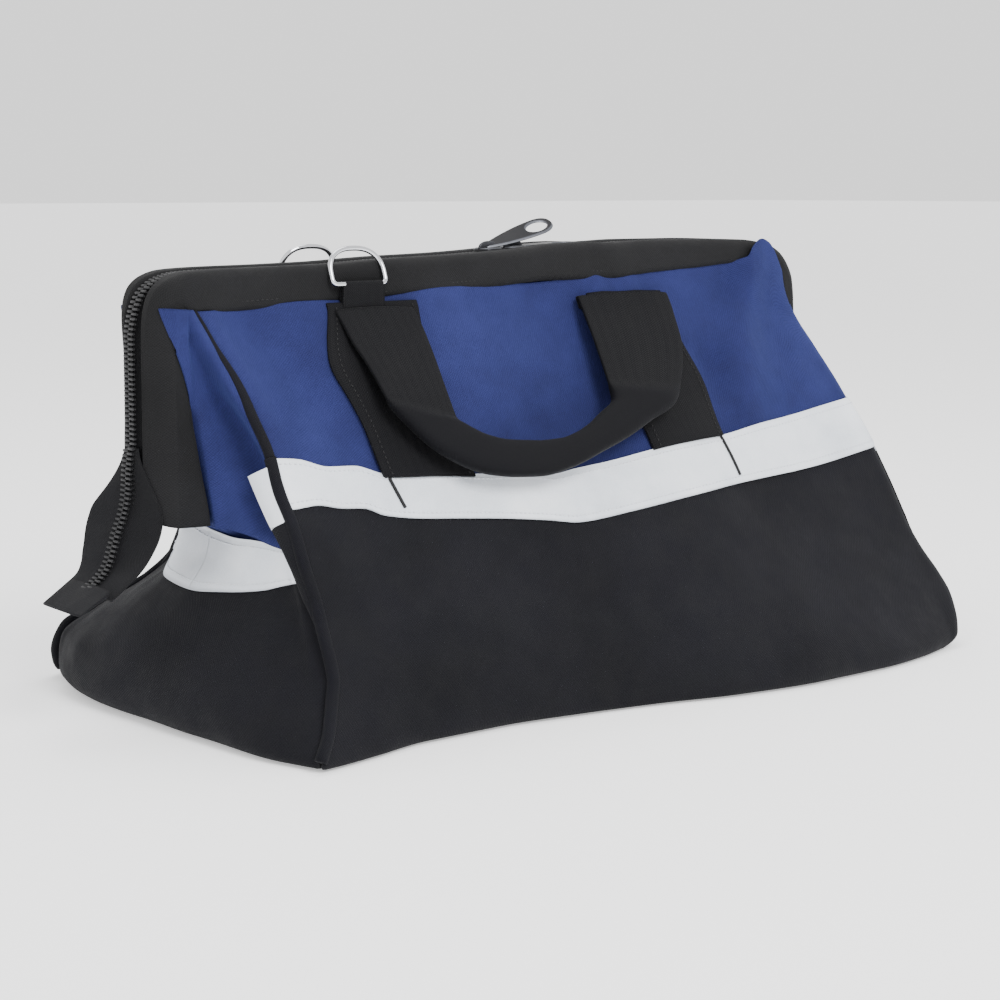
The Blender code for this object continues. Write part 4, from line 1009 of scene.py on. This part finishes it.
for side in sides:
    u, v = grid(300, 84)
    x = cloth["upperSpan"][0] + u * (cloth["upperSpan"][1] - cloth["upperSpan"][0])
    for turn in range(4):  # x and z settle on each other
        foot = bandTop(x) - cloth["upperLap"]
        z = foot + v * (upperTop(side, x) - foot)
        if turn < 3:
            x = between(side, u, z, keep=cloth["seamShare"])
    points = upperWall(side, x, z)
    upper = panel(f"{side}UpperPanel", points, cloth["thick"] * mm, (0, sides[side], 0.5), blueCloth)
    over(side, upper, "blue_cloth", f"{side}_upper_panel")

# upper end cloth between the seam and the frame's leg, s from the seam to the leg; mm by height, and
# for the ridge beside the seam and the valley behind it: heights, distance from the seam, width, lift
endFolds = {
    "ridge": ((90, 108, 120, 135, 150, 185), (3.5, 3.5, 3.6, 4.2, 5, 4.2), (4, 4, 4, 4.4, 4.8, 4),
              (0, 1.0, 2.2, 3.2, 3.6, 3.0)),
    "valley": ((90, 100, 120, 150, 185), (16, 16, 15, 13.5, 9), (9, 10, 11, 7.5, 3.6), (0, -5, -11, -8.5, -3)),
    "legY": {"left": ((90, 140, 158, 174, 186, 192), (17.8, 18.2, 21.4, 20.8, 17.8, 16.8)),
             "right": ((90, 150, 175, 192), (17.8, 18, 15, 14))},
    "foot": ((0, 0.35, 0.6, 1), (84, 87, 89.6, 91.5)), "head": {"left": 188.0, "right": 187.0},
    "share": {"left": 1.0, "right": 0.55},
    "sleeveEdge": ((93, 113, 149, 173, 200), (-190.5, -194.5, -200, -202, -202)), "overSleeve": 1.6,
    "seamEdge": 0.06, "legEdge": 0.12,                           # shares of s where the folds flatten out
    "besideLeg": {"high": 2.0, "wide": 4.5, "away": 1.2}, "ripple": 0.4, "ripples": 41, "lift": 0.4, "footLift": 1.4,
}
for side in sides:
    for end in ends:
        s, v = grid(110, 96)
        foot, head = smoothThrough(s, *endFolds["foot"]), endFolds["head"][end] + 1.0 * s
        z = foot + (head - foot) * v
        seam = upperWall(side, seamX(side, end, z), z)
        seamAway, seamDeep = seam[..., 0] / mm, np.abs(seam[..., 1]) / mm
        chordX = smoothThrough(z, *legX[end]) - seamAway
        chordY = smoothThrough(z, *endFolds["legY"][end]) - seamDeep
        size = np.hypot(chordX, chordY)
        outX, outY = ends[end] * np.abs(chordY) / size, np.abs(chordX) / size
        d = s * size
        lift = np.zeros_like(s)
        for fold in ("ridge", "valley"):
            centre, wide, high = (smoothThrough(z, endFolds[fold][0], row) for row in endFolds[fold][1:])
            lift = lift + high * np.exp(-((d - centre) / wide) ** 2) * endFolds["share"][end]
        edge = np.clip(np.minimum(s / endFolds["seamEdge"], (1 - s) / endFolds["legEdge"]), 0, 1)
        roll = endFolds["besideLeg"]
        besideLeg = roll["high"] * np.exp(-((1 - s) * size / roll["wide"] - roll["away"]) ** 2)
        small = ripple(d, z, endFolds["ripples"], endFolds["ripple"])
        lift = lift * edge + besideLeg * edge + small * edge + endFolds["lift"]
        lift = lift + endFolds["footLift"] * ramp(z, 96, -8) * ramp(s, 0.5, -0.2)
        if end == "right":
            lift = lift * ramp(z, 172, -22)
        x, depth = seamAway + chordX * s + outX * lift, seamDeep + chordY * s + outY * lift
        if end == "left":
            # where the sleeve lies behind it the cloth stays in front of the sleeve's face
            legEdge = np.interp(z, *endFolds["sleeveEdge"])
            onSleeve = np.clip((x - legEdge) * ends[end] / 2 + 1, 0, 1) * ramp(z, 140, 15)
            onSleeve = np.maximum(onSleeve, ramp(z, 185, 4) * ramp(s, 0, 0.3))
            slope = ramp(x, -216.7, 9.0)
            face = mouth["sleeveIn"] + 2.4 + 12.6 * slope + 0.9 * np.sin(np.pi * slope) + endFolds["overSleeve"]
            depth = np.maximum(depth, face * onSleeve + depth * (1 - onSleeve))
        name = f"{side}{end.capitalize()}EndCloth"
        points = stack(x * mm, sides[side] * depth * mm, z * mm)
        upper = panel(name, points, cloth["thick"] * mm, (ends[end], sides[side] * 0.5, 0), blueCloth)
        over(side, upper, "blue_cloth", f"{side}_{end}_upper_gusset")

# the end cloth's foot between the two legs: from behind the band up to the zip's end, which lifts it
gussetFoot = {"reach": {"left": -213.5, "right": 186.5}, "lap": 5.0, "behind": -1.6, "topBehind": -2.2,
              "top": 94.0, "rise": 12.0, "blendFrom": 88, "blendTo": 105}
for end in ends:
    w, v = grid(90, 30, (0.03, 0), (0.97, 1))
    low = endWall(end, w, endBandTop(w) - gussetFoot["lap"], gussetFoot["behind"]) / mm
    middle = ease(ramp(np.abs(low[..., 1]), 27, -8))
    z = low[..., 2] * (1 - v) + (gussetFoot["top"] + gussetFoot["rise"] * middle) * v
    high = endWall(end, w, z, gussetFoot["topBehind"]) / mm
    x = high[..., 0] + (gussetFoot["reach"][end] - high[..., 0]) * middle * ramp(z, 84, 22) ** 1.3
    y = high[..., 1] * (1 - v) + low[..., 1] * (1 - 0.2 * middle) * v
    points = stack(x * mm, y * mm, z * mm)
    foot = panel(f"{end}GussetFoot", points, cloth["thick"] * mm, (ends[end], 0, 0), blueCloth)
    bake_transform(foot)

# bound seams on the four corners, below and above the band's top; the front right one is turned inwards
piping = {"Lower": (2.8, 2.2), "Upper": (2.2, 1.9), "foot": 4.4, "top": 187.0, "square": 2.6,
          "shown": {"lift": 0.4, "out": 0.8}, "hidden": {"lift": -2.4, "out": -0.6},
          "wobble": 0.35, "wobbleHeight": 4.7, "thinTo": 0.5}
for side in sides:
    for end in ends:
        corner = float(bandTop(seamX(side, end, 120.0)))
        place = piping["hidden" if (side, end) == ("front", "right") else "shown"]
        for part, first, last in (("Lower", piping["foot"], corner), ("Upper", corner, piping["top"])):
            z = np.linspace(first, last, 90)
            spine = wall(side, seamX(side, end, z), z, place["lift"])
            spine[:, 0] += (ends[end] * place["out"] + piping["wobble"] * np.sin(z / piping["wobbleHeight"])) * mm
            section = oval(14, piping[part][0] * mm, piping[part][1] * mm, piping["square"])
            thin = 1 - piping["thinTo"] * ramp(z, 150, 40) ** 1.5
            name = f"{side}{end.capitalize()}{part}Piping"
            bound = sweep(name, spine, section, (0, sides[side], 0.3), pipingCloth, thin)
            over(side, bound, "black_cloth", f"{side}_{end}_{part.lower()}_piping")
print("upper cloth made")

# webbing: straps, carrying loops, ring tabs
strap = {"wide": 50.0, "thick": 2.0, "lift": 3.4, "calm": 0.55, "apart": 77.0, "low": -14.5, "high": -25.5,
         "lap": 1.0, "top": 184.0, "past": 3.0, "clothFoot": 105, "crown": 0.5,
         "sway": {"high": 0.35, "turns": 9, "left": 1, "right": 0}, "threadLift": 0.15,
         "aside": ((100, 115, 133, 154, 170, 184), (-9, -9, -8, -8, -5, -1.5)),
         "bulge": {"left": (-5.5, 163, 16), "right": (4.0, 144, 15)},       # outwards by, at height, over
         "stitchRows": {"Left": 3, "Right": 36}, "pitch": 2.6}
for side in sides:
    for end in ends:
        u, v = grid(40, 120, (-1, 0), (1, 1))
        low, high = strap["low"] + ends[end] * strap["apart"], strap["high"] + ends[end] * strap["apart"]
        foot = bandTop(low + u * strap["wide"] / 2) - strap["lap"]
        z = foot + v * (strap["top"] + strap["past"] - foot)
        x = low + (high - low) * v + u * strap["wide"] / 2
        if end == "left":
            x = x + smoothThrough(z, *strap["aside"])
        by, at, reach = strap["bulge"][end]
        x = x + by * np.clip(ends[end] * u, 0, 1) * np.exp(-((z - at) / reach) ** 2)
        sway = strap["sway"]["high"] * np.sin(v * strap["sway"]["turns"] + strap["sway"][end])
        crown = strap["crown"] * (1 - u ** 4) + sway
        points = wall(side, x, z, strap["lift"] + crown, strap["calm"])
        tall = (strap["top"] - strap["clothFoot"]) / math.cos(wallAngle)
        uv = np.stack([(u + 1) / 2 * strap["wide"] * mm, v * tall * mm], -1)
        name = f"{side}{end.capitalize()}Strap"
        strip = panel(name, points, strap["thick"] * mm, (0, sides[side], 0.5), webbing, uv)
        over(side, strip, "webbing", f"{side}_{end}_strap")
        for row, k in strap["stitchRows"].items():
            edge = points[k] + wallOut[side] * strap["threadLift"] * mm
            thread = stitches(f"{name}{row}Stitches", edge, wallOut[side], strap["pitch"] * mm, darkThread)
            over(side, thread, "webbing")

# the loop's two edges, x, z and distance in front of the wall, from the left strap to the right strap
loop = {
    "outer": [(-125, 180, 3.6), (-126, 184.5, 4.3), (-127, 184.6, 6.0), (-126, 180, 7), (-124.6, 171, 8.5),
              (-122.1, 163, 10), (-120.3, 153.6, 12), (-119.4, 146.2, 13.5), (-111.5, 134.4, 13.5),
              (-102.1, 124.4, 14), (-91, 117.1, 14), (-77.8, 111.7, 14), (-59.7, 108.9, 14), (-43.4, 108.1, 14),
              (-25.5, 110.6, 14), (-3.7, 116.3, 14), (13.3, 121.1, 14), (31.2, 127.3, 13.5),
              (49.5, 133.7, 13.5), (59.1, 142.7, 12.5), (67.5, 154.2, 11.5), (73, 163.8, 10), (76, 174, 8),
              (77.5, 181, 7), (78, 186.5, 6.0), (77, 186.5, 4.3), (76, 181, 3.6)],
    "inner": [(-84, 180, 3.6), (-83.8, 184.3, 4.3), (-83.5, 184.4, 6.0), (-83.3, 180, 7), (-83, 175.5, 8),
              (-83.7, 162, 10.5), (-84.7, 151, 12.3), (-85.2, 136.4, 13.8), (-79, 131, 14), (-74, 128.4, 14),
              (-68, 126.4, 14), (-62.2, 125, 14), (-50, 123.7, 14), (-40.3, 123, 14), (-30, 123.2, 14),
              (-20, 125, 14), (-10.2, 128.2, 14), (0.5, 133.2, 13.8), (11.4, 138.8, 13.5), (13.5, 146, 12.5),
              (15, 156, 11), (16.4, 166, 9.5), (17.4, 175.5, 8), (18, 181, 7), (18.5, 186.3, 6.0),
              (19, 186.3, 4.3), (19.5, 181, 3.6)],
    "steps": 260, "around": 40, "flat": 2.2, "grip": 10.5, "gripHalf": 0.238, "gripEase": 0.035, "cup": 1.1,
    "cupEase": 0.08,
}


def loopEdge(side, rows):
    # a smooth edge through x, z and distance in front of the leaning wall
    rows = smoothThrough(np.linspace(0, 1, loop["steps"]), np.linspace(0, 1, len(rows)), np.array(rows, float))
    x, z, front = rows.T
    return stack(x * mm, sides[side] * (wallDepth(z) + front / abs(wallOut[side][1])) * mm, z * mm)


for side in sides:
    t = np.linspace(0, 1, loop["steps"])
    a, b = loopEdge(side, loop["outer"]), loopEdge(side, loop["inner"])
    middle, half = (a + b) / 2, (a - b) / 2
    out = unit(np.cross(unit(np.gradient(middle, axis=0)), half))
    out = out * np.sign(out[:, 1:2] * sides[side])
    # folded to a round grip in the middle, flat towards the straps
    gripped = ease(np.clip((loop["gripHalf"] - np.abs(t - 0.5)) / loop["gripEase"], 0, 1))[:, None]
    thick = (loop["flat"] + (loop["grip"] - loop["flat"]) * gripped) * mm
    flatRing, roundRing = oval(loop["around"], 1.0, 1.0, 7.0), oval(loop["around"], 1.0, 1.0, 2.6)
    ring = flatRing[None] * (1 - gripped[..., None]) + roundRing[None] * gripped[..., None]
    # the flat strip's middle cups between its edges
    cup = loop["cup"] * mm * (1 - gripped) * (1 - ring[..., 0] ** 2)
    cup = cup * ramp(np.minimum(t, 1 - t), 0, loop["cupEase"])[:, None]
    rise = ring[..., 1] * thick / 2 + cup
    points = middle[:, None] + half[:, None] * ring[..., :1] + out[:, None] * rise[..., None]
    # the grip share goes into the edgeWear attribute, which makes the webbing smoother and darker on the grip
    made = tube(f"{side}CarryLoop", points, webbing, wear=np.repeat(gripped, loop["around"], 1))
    seat(made, "webbing", f"{side}_loop", f"{side}_carry_loop")
print("webbing made")

# rings and their tabs
ringShape = {"x": -112.0, "y": 23.9, "z": 197.0, "wide": 27.0, "high": 16.0, "wire": 1.2, "lean": 20.0,
             "corner": 2.6, "shoulder": 2.0, "rubbed": 0.4}
tabShape = {"wide": 23.0, "thick": 1.9, "foot": 180.0, "aside": 2.0, "slack": 0.25}


def ringOutline():
    # a D in its own plane: straight bar below, quarter-round corners, upright shoulders, round head
    half, high = ringShape["wide"] / 2 + ringShape["wire"], ringShape["high"] + ringShape["wire"]
    corner, shoulder = ringShape["corner"], ringShape["corner"] + ringShape["shoulder"]
    bar = np.stack([np.linspace(-half + corner, half - corner, 24), np.zeros(24)], -1)
    turn = np.linspace(-math.pi / 2, 0, 10)[1:]
    rightFoot = np.stack([half - corner + corner * np.cos(turn), corner + corner * np.sin(turn)], -1)
    turn = np.linspace(0, math.pi, 48)[1:-1]
    head = np.stack([half * np.sign(np.cos(turn)) * np.abs(np.cos(turn)) ** 0.8,
                     shoulder + (high - shoulder) * np.sin(turn) ** 0.85], -1)
    turn = np.linspace(math.pi, 1.5 * math.pi, 10)[:-1]
    leftFoot = np.stack([-half + corner + corner * np.cos(turn), corner + corner * np.sin(turn)], -1)
    return np.concatenate([bar, rightFoot, head, leftFoot])


for side, sign in sides.items():
    flat, lean = ringOutline(), math.radians(ringShape["lean"])
    path = stack((ringShape["x"] + flat[:, 0]) * mm, sign * (ringShape["y"] - flat[:, 1] * math.sin(lean)) * mm,
                 (ringShape["z"] + flat[:, 1] * math.cos(lean)) * mm)
    face = np.array([0, sign * math.cos(lean), math.sin(lean)])
    across = unit(np.cross(unit(np.roll(path, -1, 0) - np.roll(path, 1, 0)), face))
    section = oval(14, ringShape["wire"] * mm, ringShape["wire"] * mm)
    points = path[:, None] + across[:, None] * section[None, :, :1] + face * section[None, :, 1:]
    rubbed = np.full(points.shape[:2], ringShape["rubbed"])
    wire = tube(f"{side}Ring", points, chrome, wear=rubbed, closedPath=True)
    seat(wire, "chrome", f"{side}_ring", f"{side}_ring")

    # the tab: up the sleeve's face, round the bar and down again
    radius, centreY, centreZ = ringShape["wire"] + tabShape["slack"], ringShape["y"], ringShape["z"]
    turn = np.linspace(0, math.pi, 16)
    back = [(mouth["sleeveOut"] + 0.2, z) for z in (tabShape["foot"] + 9, 191, 194.5)]
    bend = [(centreY - radius * math.cos(a), centreZ + radius * math.sin(a)) for a in turn]
    front = [(centreY + radius, 194), (centreY + radius - 0.4, 189.5), (centreY + radius - 0.2, 184),
             (centreY + radius + 1.8, tabShape["foot"])]
    profile = alongCurve(np.array(back + bend + front), 70)
    x = ringShape["x"] + tabShape["aside"] + np.linspace(-1, 1, 14)[None, :] * tabShape["wide"] / 2
    points = stack(x * mm, sign * profile[:, None, 0] * mm, profile[:, None, 1] * mm + 0 * x)
    uv = np.stack(np.meshgrid(lengths(points, 0), lengths(points, 1), indexing="ij")[::-1], -1)
    tab = panel(f"{side}RingTab", points, tabShape["thick"] * mm, (0, sign, 0), webbing, uv)
    seat(tab, "webbing", f"{side}_mouth", f"{side}_ring_tab")
print("rings made")

# sliders and pulls
top = {"slope": 0.028, "middle": -14.0, "height": 209.5}


def onTop(x, y, up):
    # from mm along the mouth's slightly tilted top line, across it and up from it
    tilt = math.atan(top["slope"])
    base = top["height"] + top["slope"] * (x - top["middle"])
    return stack((x - up * math.sin(tilt)) * mm, y * mm, (base + up * math.cos(tilt)) * mm)


slider = {"x": {"left": -19.0, "right": -3.4}, "long": 12.0, "wide": 12.5, "rise": 0.4, "taper": 0.12,
          # the body's rings: height, share of the full size, wear
          "levels": ((-1.8, 0.86, 0.3), (-1.3, 1.0, 0.5), (0.9, 1.0, 0.2), (1.5, 0.94, 0.8), (1.8, 0.84, 0.1)),
          "bridgeHalf": 4.4, "bridgeFoot": 1.4, "bridgeRise": 2.3, "bridgeWear": 0.45}
for end in ends:
    height, share, rub = np.array(slider["levels"]).T[..., None]
    ring = oval(40, 1.0, 1.0, 4.0)
    taper = 1 - slider["taper"] * (ring[:, 0] * -ends[end] > 0) * np.abs(ring[:, 0])
    x = slider["x"][end] + ring[None, :, 0] * slider["long"] / 2 * share
    y = ring[None, :, 1] * taper[None] * slider["wide"] / 2 * share
    points = onTop(x, y, height + 0 * x + slider["rise"])
    body = tube(f"{end}Slider", points, darkMetal, wear=np.repeat(rub, 40, 1))
    seat(body, "dark_metal", f"{end}_slider", f"{end}_slider")
    # the bridge that the pull hangs on
    turn = np.linspace(0, math.pi, 26)
    path = onTop(slider["x"][end] + slider["bridgeHalf"] * np.cos(turn), np.zeros(26),
                 slider["bridgeFoot"] + slider["bridgeRise"] * np.sin(turn) ** 0.7)
    bridge = sweep(f"{end}SliderBridge", path, oval(12, 1.7 * mm, 0.7 * mm, 3.0), (0, 1, 0), darkMetal)
    edgeWear(bridge.data, np.full(len(bridge.data.vertices), slider["bridgeWear"]))
    seat(bridge, "dark_metal", f"{end}_slider")

pull = {"long": 42.0, "wide": 10.4, "thick": 1.3, "bevel": 0.35, "holeLong": 13.0, "holeWide": 7.4, "rim": 3.4,
        "headRim": 3.2, "root": 1.5, "waist": 0.42, "around": 72,
        "lift": {"left": 14.0, "right": 0.0}, "rise": {"left": 3.1, "right": 1.9},
        "roll": {"left": 35.0, "right": 4.0}}


def pullRings():
    # the plate's cross-sections from the outer edge's underside over the top and down through the hole,
    # each grown from the outline (narrow root, round head) or from the oval hole, with its wear
    angle = np.linspace(0, 2 * math.pi, pull["around"], endpoint=False)
    c, s = np.cos(angle), np.sin(angle)
    centre = pull["long"] - pull["rim"] - pull["holeLong"] / 2
    outerX = np.where(c < 0, centre + (centre + pull["root"]) * c,
                      centre + (pull["holeLong"] / 2 + pull["headRim"]) * c)
    outerY = pull["wide"] / 2 * np.sign(s) * np.abs(s) ** 0.85 * (1 - pull["waist"] * np.clip(-c, 0, 1) ** 1.5)
    holeX, holeY = centre + pull["holeLong"] / 2 * c, pull["holeWide"] / 2 * np.sign(s) * np.abs(s) ** 0.9
    half, bevel = pull["thick"] / 2, pull["bevel"]
    rings, worn = [], []
    for x, y, by, z, rub in (
            (outerX, outerY, -bevel, -half, 0.5), (outerX, outerY, 0, -half + bevel, 0.9),
            (outerX, outerY, 0, half - bevel, 0.9), (outerX, outerY, -bevel, half, 0.6),
            (outerX, outerY, -bevel * 2.6, half, 0.0), (holeX, holeY, bevel * 2.4, half, 0.0),
            (holeX, holeY, bevel, half, 0.6), (holeX, holeY, 0, half - bevel, 0.9),
            (holeX, holeY, 0, -half + bevel, 0.9), (holeX, holeY, bevel, -half, 0.5)):
        grow = 1 + by / np.hypot(x - centre, y)
        rings.append(stack(centre + (x - centre) * grow, y * grow, np.full(pull["around"], z)))
        worn.append(np.full(pull["around"], rub))
    return np.array(rings), np.array(worn)


for end in ends:
    plate, worn = pullRings()
    along, across, out = np.moveaxis(plate, -1, 0)
    lift, roll = math.radians(pull["lift"][end]), math.radians(pull["roll"][end])
    ahead = slider["x"][end] + along * math.cos(lift) - out * math.sin(lift)
    up = pull["rise"][end] + along * math.sin(lift) + out * math.cos(lift)
    points = onTop(ahead - across * math.sin(roll) * math.sin(lift), across * math.cos(roll) + out * math.sin(roll),
                   up + across * math.sin(roll) * math.cos(lift))
    plateMesh = tube(f"{end}Pull", points, darkMetal, wear=worn, closedPath=True)
    seat(plateMesh, "dark_metal", f"{end}_pull", f"{end}_pull")
print("sliders made")

# free zip ends
tail = {
    # heights, then x and the tape's twist at each height
    "heights": (127, 119, 110, 98, 91, 80, 75, 69, 64.5),
    "left": ((-219.3, -219.9, -221.0, -223.4, -225.6, -229.5, -231.8, -237, -243.5),
             (0.05, 0.12, 0.26, 0.45, 0.45, 0.35, 0.25, 0.12, 0.1)),
    "right": ((190.8, 191.4, 192.3, 194.2, 196.6, 201.0, 204.0, 208.0, 212.5),
              (0.0, 0.0, 0.05, 0.1, 0.12, 0.1, 0.08, 0.05, 0.0)),
    "halfWide": ((64, 92, 99, 106, 113, 120, 127.5), (19, 19, 18, 15.2, 11.5, 8.2, 5.5)),
    "thick": 1.0, "cup": 1.1, "coilLift": 0.9, "blendFrom": 104, "blendTo": 92,
    "tab": {"reach": {"left": 13.0, "right": 12.0}, "back": 1.5, "drop": 7.5, "up": 1.2, "halfWide": 19.4,
            "high": (4.6, 1.3)},
}


def onTail(piece):
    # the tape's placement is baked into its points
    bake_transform(piece)


for end, sign in ends.items():
    places, twists = tail[end]
    spine = alongCurve(np.stack([places, tail["heights"], twists], -1), 80)
    x, z, twist = (spine[:, k:k + 1] for k in range(3))
    y = np.linspace(-1, 1, 26)[None, :] * smoothThrough(z, *tail["halfWide"])
    cup = tail["cup"] * (y / 19) ** 2 + 0.4 * np.sin(z / 5 + y / 6)
    x = x - y * twist - sign * cup
    points = stack(x * mm, y * mm, (z + 0 * y + 0.06 * y * ramp(z, 80, -20)) * mm)
    tape = panel(f"{end}ZipTail", points, tail["thick"] * mm, (sign, 0, 0), tapeCloth)
    onTail(tape)
    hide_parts(f"{end}_zip_end", f"{end}_zip_tail")
    middle = points[:, 12] * 0.5 + points[:, 13] * 0.5
    out = unit(np.cross(np.gradient(middle, axis=0), np.array([0.0, 1.0, 0.0])))
    out = out * np.sign(out[:, :1] * sign)
    path = middle + out * tail["coilLift"] * mm
    for side in sides:
        teeth = toothRow(f"{end}Tail{side.capitalize()}Coil", path, out, side, coilPlastic)
        onTail(teeth)
    # folded end tab: a wedge over the tape's cut end
    tab, foot = tail["tab"], points[-1, 13] / mm
    ring, steps = oval(30, 1.0, 1.0, 5.0), np.linspace(0, 1, 14)[:, None]
    high = (tab["high"][0] * (1 - steps) + tab["high"][1] * steps) / 2
    x = foot[0] + sign * (steps * tab["reach"][end] - tab["back"]) - sign * ring[None, :, 1] * high * 0.5
    z = foot[2] - steps * tab["drop"] + tab["up"] + ring[None, :, 1] * high
    y = ring[None, :, 0] * tab["halfWide"] * (1 - 0.06 * steps)
    wedge = tube(f"{end}TailTab", stack(x * mm, y * mm, z * mm), tapeCloth)
    seat(wedge, "black_cloth", f"{end}_tail", f"{end}_tail_tab")
print("tails made")

# the base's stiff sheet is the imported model's own
board = nodes["bottom_board"].data
board.materials.clear()
board.materials.append(boardPlastic)

# the floor, half a millimetre under the base
floorMesh = bpy.data.meshes.new("floor")
far, level = studio["floorFar"], studio["floorLevel"]
corners = [(-far, -far, level), (far, -far, level), (far, far, level), (-far, far, level)]
floorMesh.from_pydata(corners, [], [(0, 1, 2, 3)])
floorFinish = Finish("floor", Roughness=0.9, Specular_IOR_Level=0.1)
floorFinish.shader.inputs["Base Color"].default_value = (*studio["floor"], 1.0)
floorFinish.shader.inputs["Emission Color"].default_value = (1.0, 1.0, 1.0, 1.0)
floorFinish.shader.inputs["Emission Strength"].default_value = studio["floorGlow"]
floorMesh.materials.append(floorFinish.material)
floor = bpy.data.objects.new("floor", floorMesh)
bpy.context.collection.objects.link(floor)

print("scene done")
